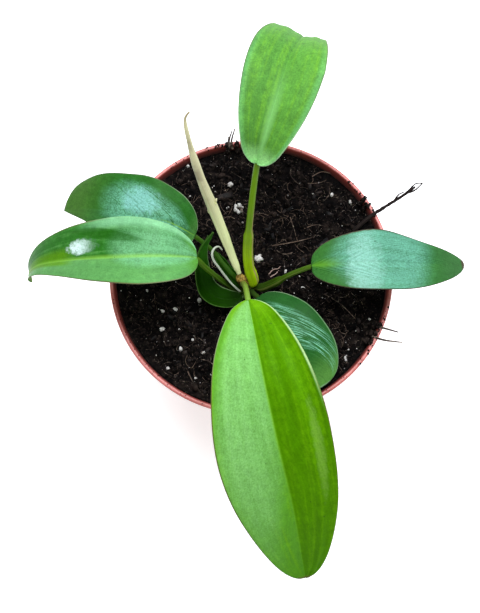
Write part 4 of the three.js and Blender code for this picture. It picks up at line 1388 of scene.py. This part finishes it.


# The shaded southeast leaf
# A short older leaf that lies low under the long one. It is dark, with fine parallel streaks of painted
# sheen that follow its veins and a thin pale margin.
SOUTHEAST = {
    "petiole": [(-0.5, -6.5, 90.8), (1, -9.5, 93.5), (3, -12, 98.5)],
    "thick": [(0, 1.2), (1, 1.1)],
    "midrib": [(3, -12, 98.5), (10.5, -22, 103), (19.5, -34, 103.5), (29.5, -49, 97)],
    "left": 14, "right": 14, "widest": (0.5, 0.5), "base_round": (0.5, 0.5),
    "tip": ((0.45, 2.8), (0.3, 2.2)), "folds": (8, 8), "cup": -18,
    "crease": 0.3, "groove": 0.15,
}


def southeast_relief(share, across):
    pleats = vein_pleats(share, across, 0.12, 15) * hump(share, 0, 1)
    waves = margin_waves(share, across, 0.4, 2.3, 0.5)
    return pleats * smooth(abs(across) * 4) + waves


southeast_top = leaf_skin(
    "southeast_leaf_top", Left=seen(32, 86, 32), Right=seen(28, 80, 26), Foot=seen(30, 76, 28),
    Tip=seen(76, 124, 54), Midrib=seen(44, 96, 36), Margin=seen(110, 146, 104), Band=seen(38, 92, 36),
    Bloom=seen(128, 194, 164), Tip_Start=0.7, Pale_Foot=0.4, Midrib_Fade=0.6, Midrib_Strength=0.3,
    Margin_Width=0.045, Vein_Strength=0.08, Bloom_Along=0.42, Bloom_Length=0.3, Bloom_Across=-0.4,
    Bloom_Width=0.55, Bloom_Strength=0.9, Bloom_Streaks=0.84, Pebbling=0.35, Gloss=0.34,
)
southeast_under = underside("southeast_leaf_under", seen(70, 120, 64), seen(100, 146, 76))
southeast_stalk = stalk_skin("southeast_leaf_stalk", seen(44, 66, 20), seen(54, 84, 26), seen(70, 104, 36),
                             seen(120, 140, 80))
grow_blade("southeast_blade", SOUTHEAST, [southeast_top, southeast_under], southeast_relief,
           ["leaf_southeast"], 50, 100)
grow_stalk("southeast_stalk", SOUTHEAST, southeast_stalk)


# The curled southwest leaf
# The smallest and oldest, tucked under the crown. It grew bent round on itself, so that it opens
# upwards like a scoop and ends in a lighter horn.
SOUTHWEST = {
    "petiole": [(-2, -7, 90.2), (-2.5, -9.5, 92.3), (-4, -11.2, 94.8)],
    "thick": [(0, 1.1), (1, 1)],
    "midrib": [(-4, -11.2, 94.8), (-9.5, -12.5, 96), (-15.5, -11.5, 97.5), (-20, -8, 100.5),
        (-21.5, -0.5, 107), (-20, 5.5, 114), (-15.5, 9.5, 119)],
    "left": 5, "right": 5, "widest": (0.38, 0.38), "base_round": (0.45, 0.45),
    "tip": ((0.05, 1.6), (0.05, 1.6)), "folds": (12, 12), "cup": 30,
}


def southwest_relief(share, across):
    return 0.2 * math.sin(math.tau * 2.6 * share) * abs(across) ** 2


southwest_top = leaf_skin(
    "southwest_leaf_top", Left=seen(16, 48, 0), Right=seen(18, 54, 0), Foot=seen(14, 42, 0),
    Tip=seen(50, 112, 24), Midrib=seen(26, 66, 4), Margin=seen(70, 104, 44), Band=seen(26, 70, 4),
    Lip=seen(130, 158, 110), Tip_Start=0.55, Tip_End=0.9, Midrib_Width=0.08, Midrib_Fade=0.9,
    Midrib_Strength=0.3, Margin_Width=0.05, Lip_Width=0.08, Lip_End=1.2, Lip_Side=1.0, Lip_Strength=0.7,
    Vein_Strength=0.05, Gloss=0.34,
)
southwest_under = underside("southwest_leaf_under", seen(44, 88, 20), seen(70, 116, 36))
southwest_stalk = stalk_skin("southwest_leaf_stalk", seen(40, 60, 16), seen(44, 72, 16), seen(50, 84, 20),
                             seen(100, 120, 60))
grow_blade("southwest_blade", SOUTHWEST, [southwest_top, southwest_under], southwest_relief,
           ["leaf_southwest"], 44, 90)
grow_stalk("southwest_stalk", SOUTHWEST, southwest_stalk)


# The floor, the light and the camera
# A plain white sweep under the pot, a bright bluish-white room round it, one broad window overhead and
# two beside it, and the camera that looks steeply down as the photographer did.
FLOOR_SIZE = 6.0
FLOOR_WHITE = (0.8, 0.8, 0.8, 1)

floor_bm = bmesh.new()
bmesh.ops.create_grid(floor_bm, x_segments=1, y_segments=1, size=FLOOR_SIZE / 2)
floor_mesh = bpy.data.meshes.new("floor")
floor_bm.to_mesh(floor_mesh)
floor_bm.free()
floor = bpy.data.objects.new("floor", floor_mesh)
bpy.context.scene.collection.objects.link(floor)
paper, tree, shader = material_named("white_paper")
where = object_place(tree)
fine = noise_of(where, 400.0, 3.0)
fed(
    shader,
    {"Base Color": blended(fine, FLOOR_WHITE, (0.84, 0.84, 0.84, 1)), "Roughness": 0.9,
        "Emission Color": (1, 1, 1, 1), "Emission Strength": 0.6}
)
floor_mesh.materials.append(paper)

world = bpy.data.worlds.new("room")
bpy.context.scene.world = world
world.use_nodes = True
world.node_tree.nodes["Background"].inputs["Color"].default_value = (0.95, 0.98, 1, 1)
world.node_tree.nodes["Background"].inputs["Strength"].default_value = 0.4

AIM = Vector((0, 0, 0.11))
WINDOW_COLOUR = (0.93, 0.97, 1.0)
CAMERA_AT = (-0.0047, -0.11965, 0.52957)
CAMERA_TILT = 13.5
LENS = 62.93
SENSOR = 36


def window(name, toward, distance, width, height, watts):
    """A soft rectangular light, as far off as given, that faces the plant from the direction toward."""
    light = bpy.data.lights.new(name, "AREA")
    light.shape = "RECTANGLE"
    light.size = width
    light.size_y = height
    light.energy = watts
    light.color = WINDOW_COLOUR
    lamp = bpy.data.objects.new(name, light)
    direction = Vector(toward).normalized()
    lamp.location = AIM + direction * distance
    lamp.rotation_euler = direction.to_track_quat("Z", "Y").to_euler()
    bpy.context.scene.collection.objects.link(lamp)
    return lamp


window("overhead_window", (0.05, 0.28, 1.0), 1.3, 0.9, 0.8, 24)
window("north_window", (-0.15, 0.8, 0.65), 1.6, 0.9, 0.6, 8)
window("northeast_window", (0.7, 0.6, 0.8), 1.6, 0.7, 0.7, 7)

camera_data = bpy.data.cameras.new("camera")
camera_data.lens = LENS
camera_data.sensor_width = SENSOR
camera = bpy.data.objects.new("camera", camera_data)
camera.location = CAMERA_AT
camera.rotation_euler = (math.radians(CAMERA_TILT), 0, 0)
bpy.context.scene.collection.objects.link(camera)
bpy.context.scene.camera = camera
bpy.context.scene.view_settings.view_transform = "Standard"
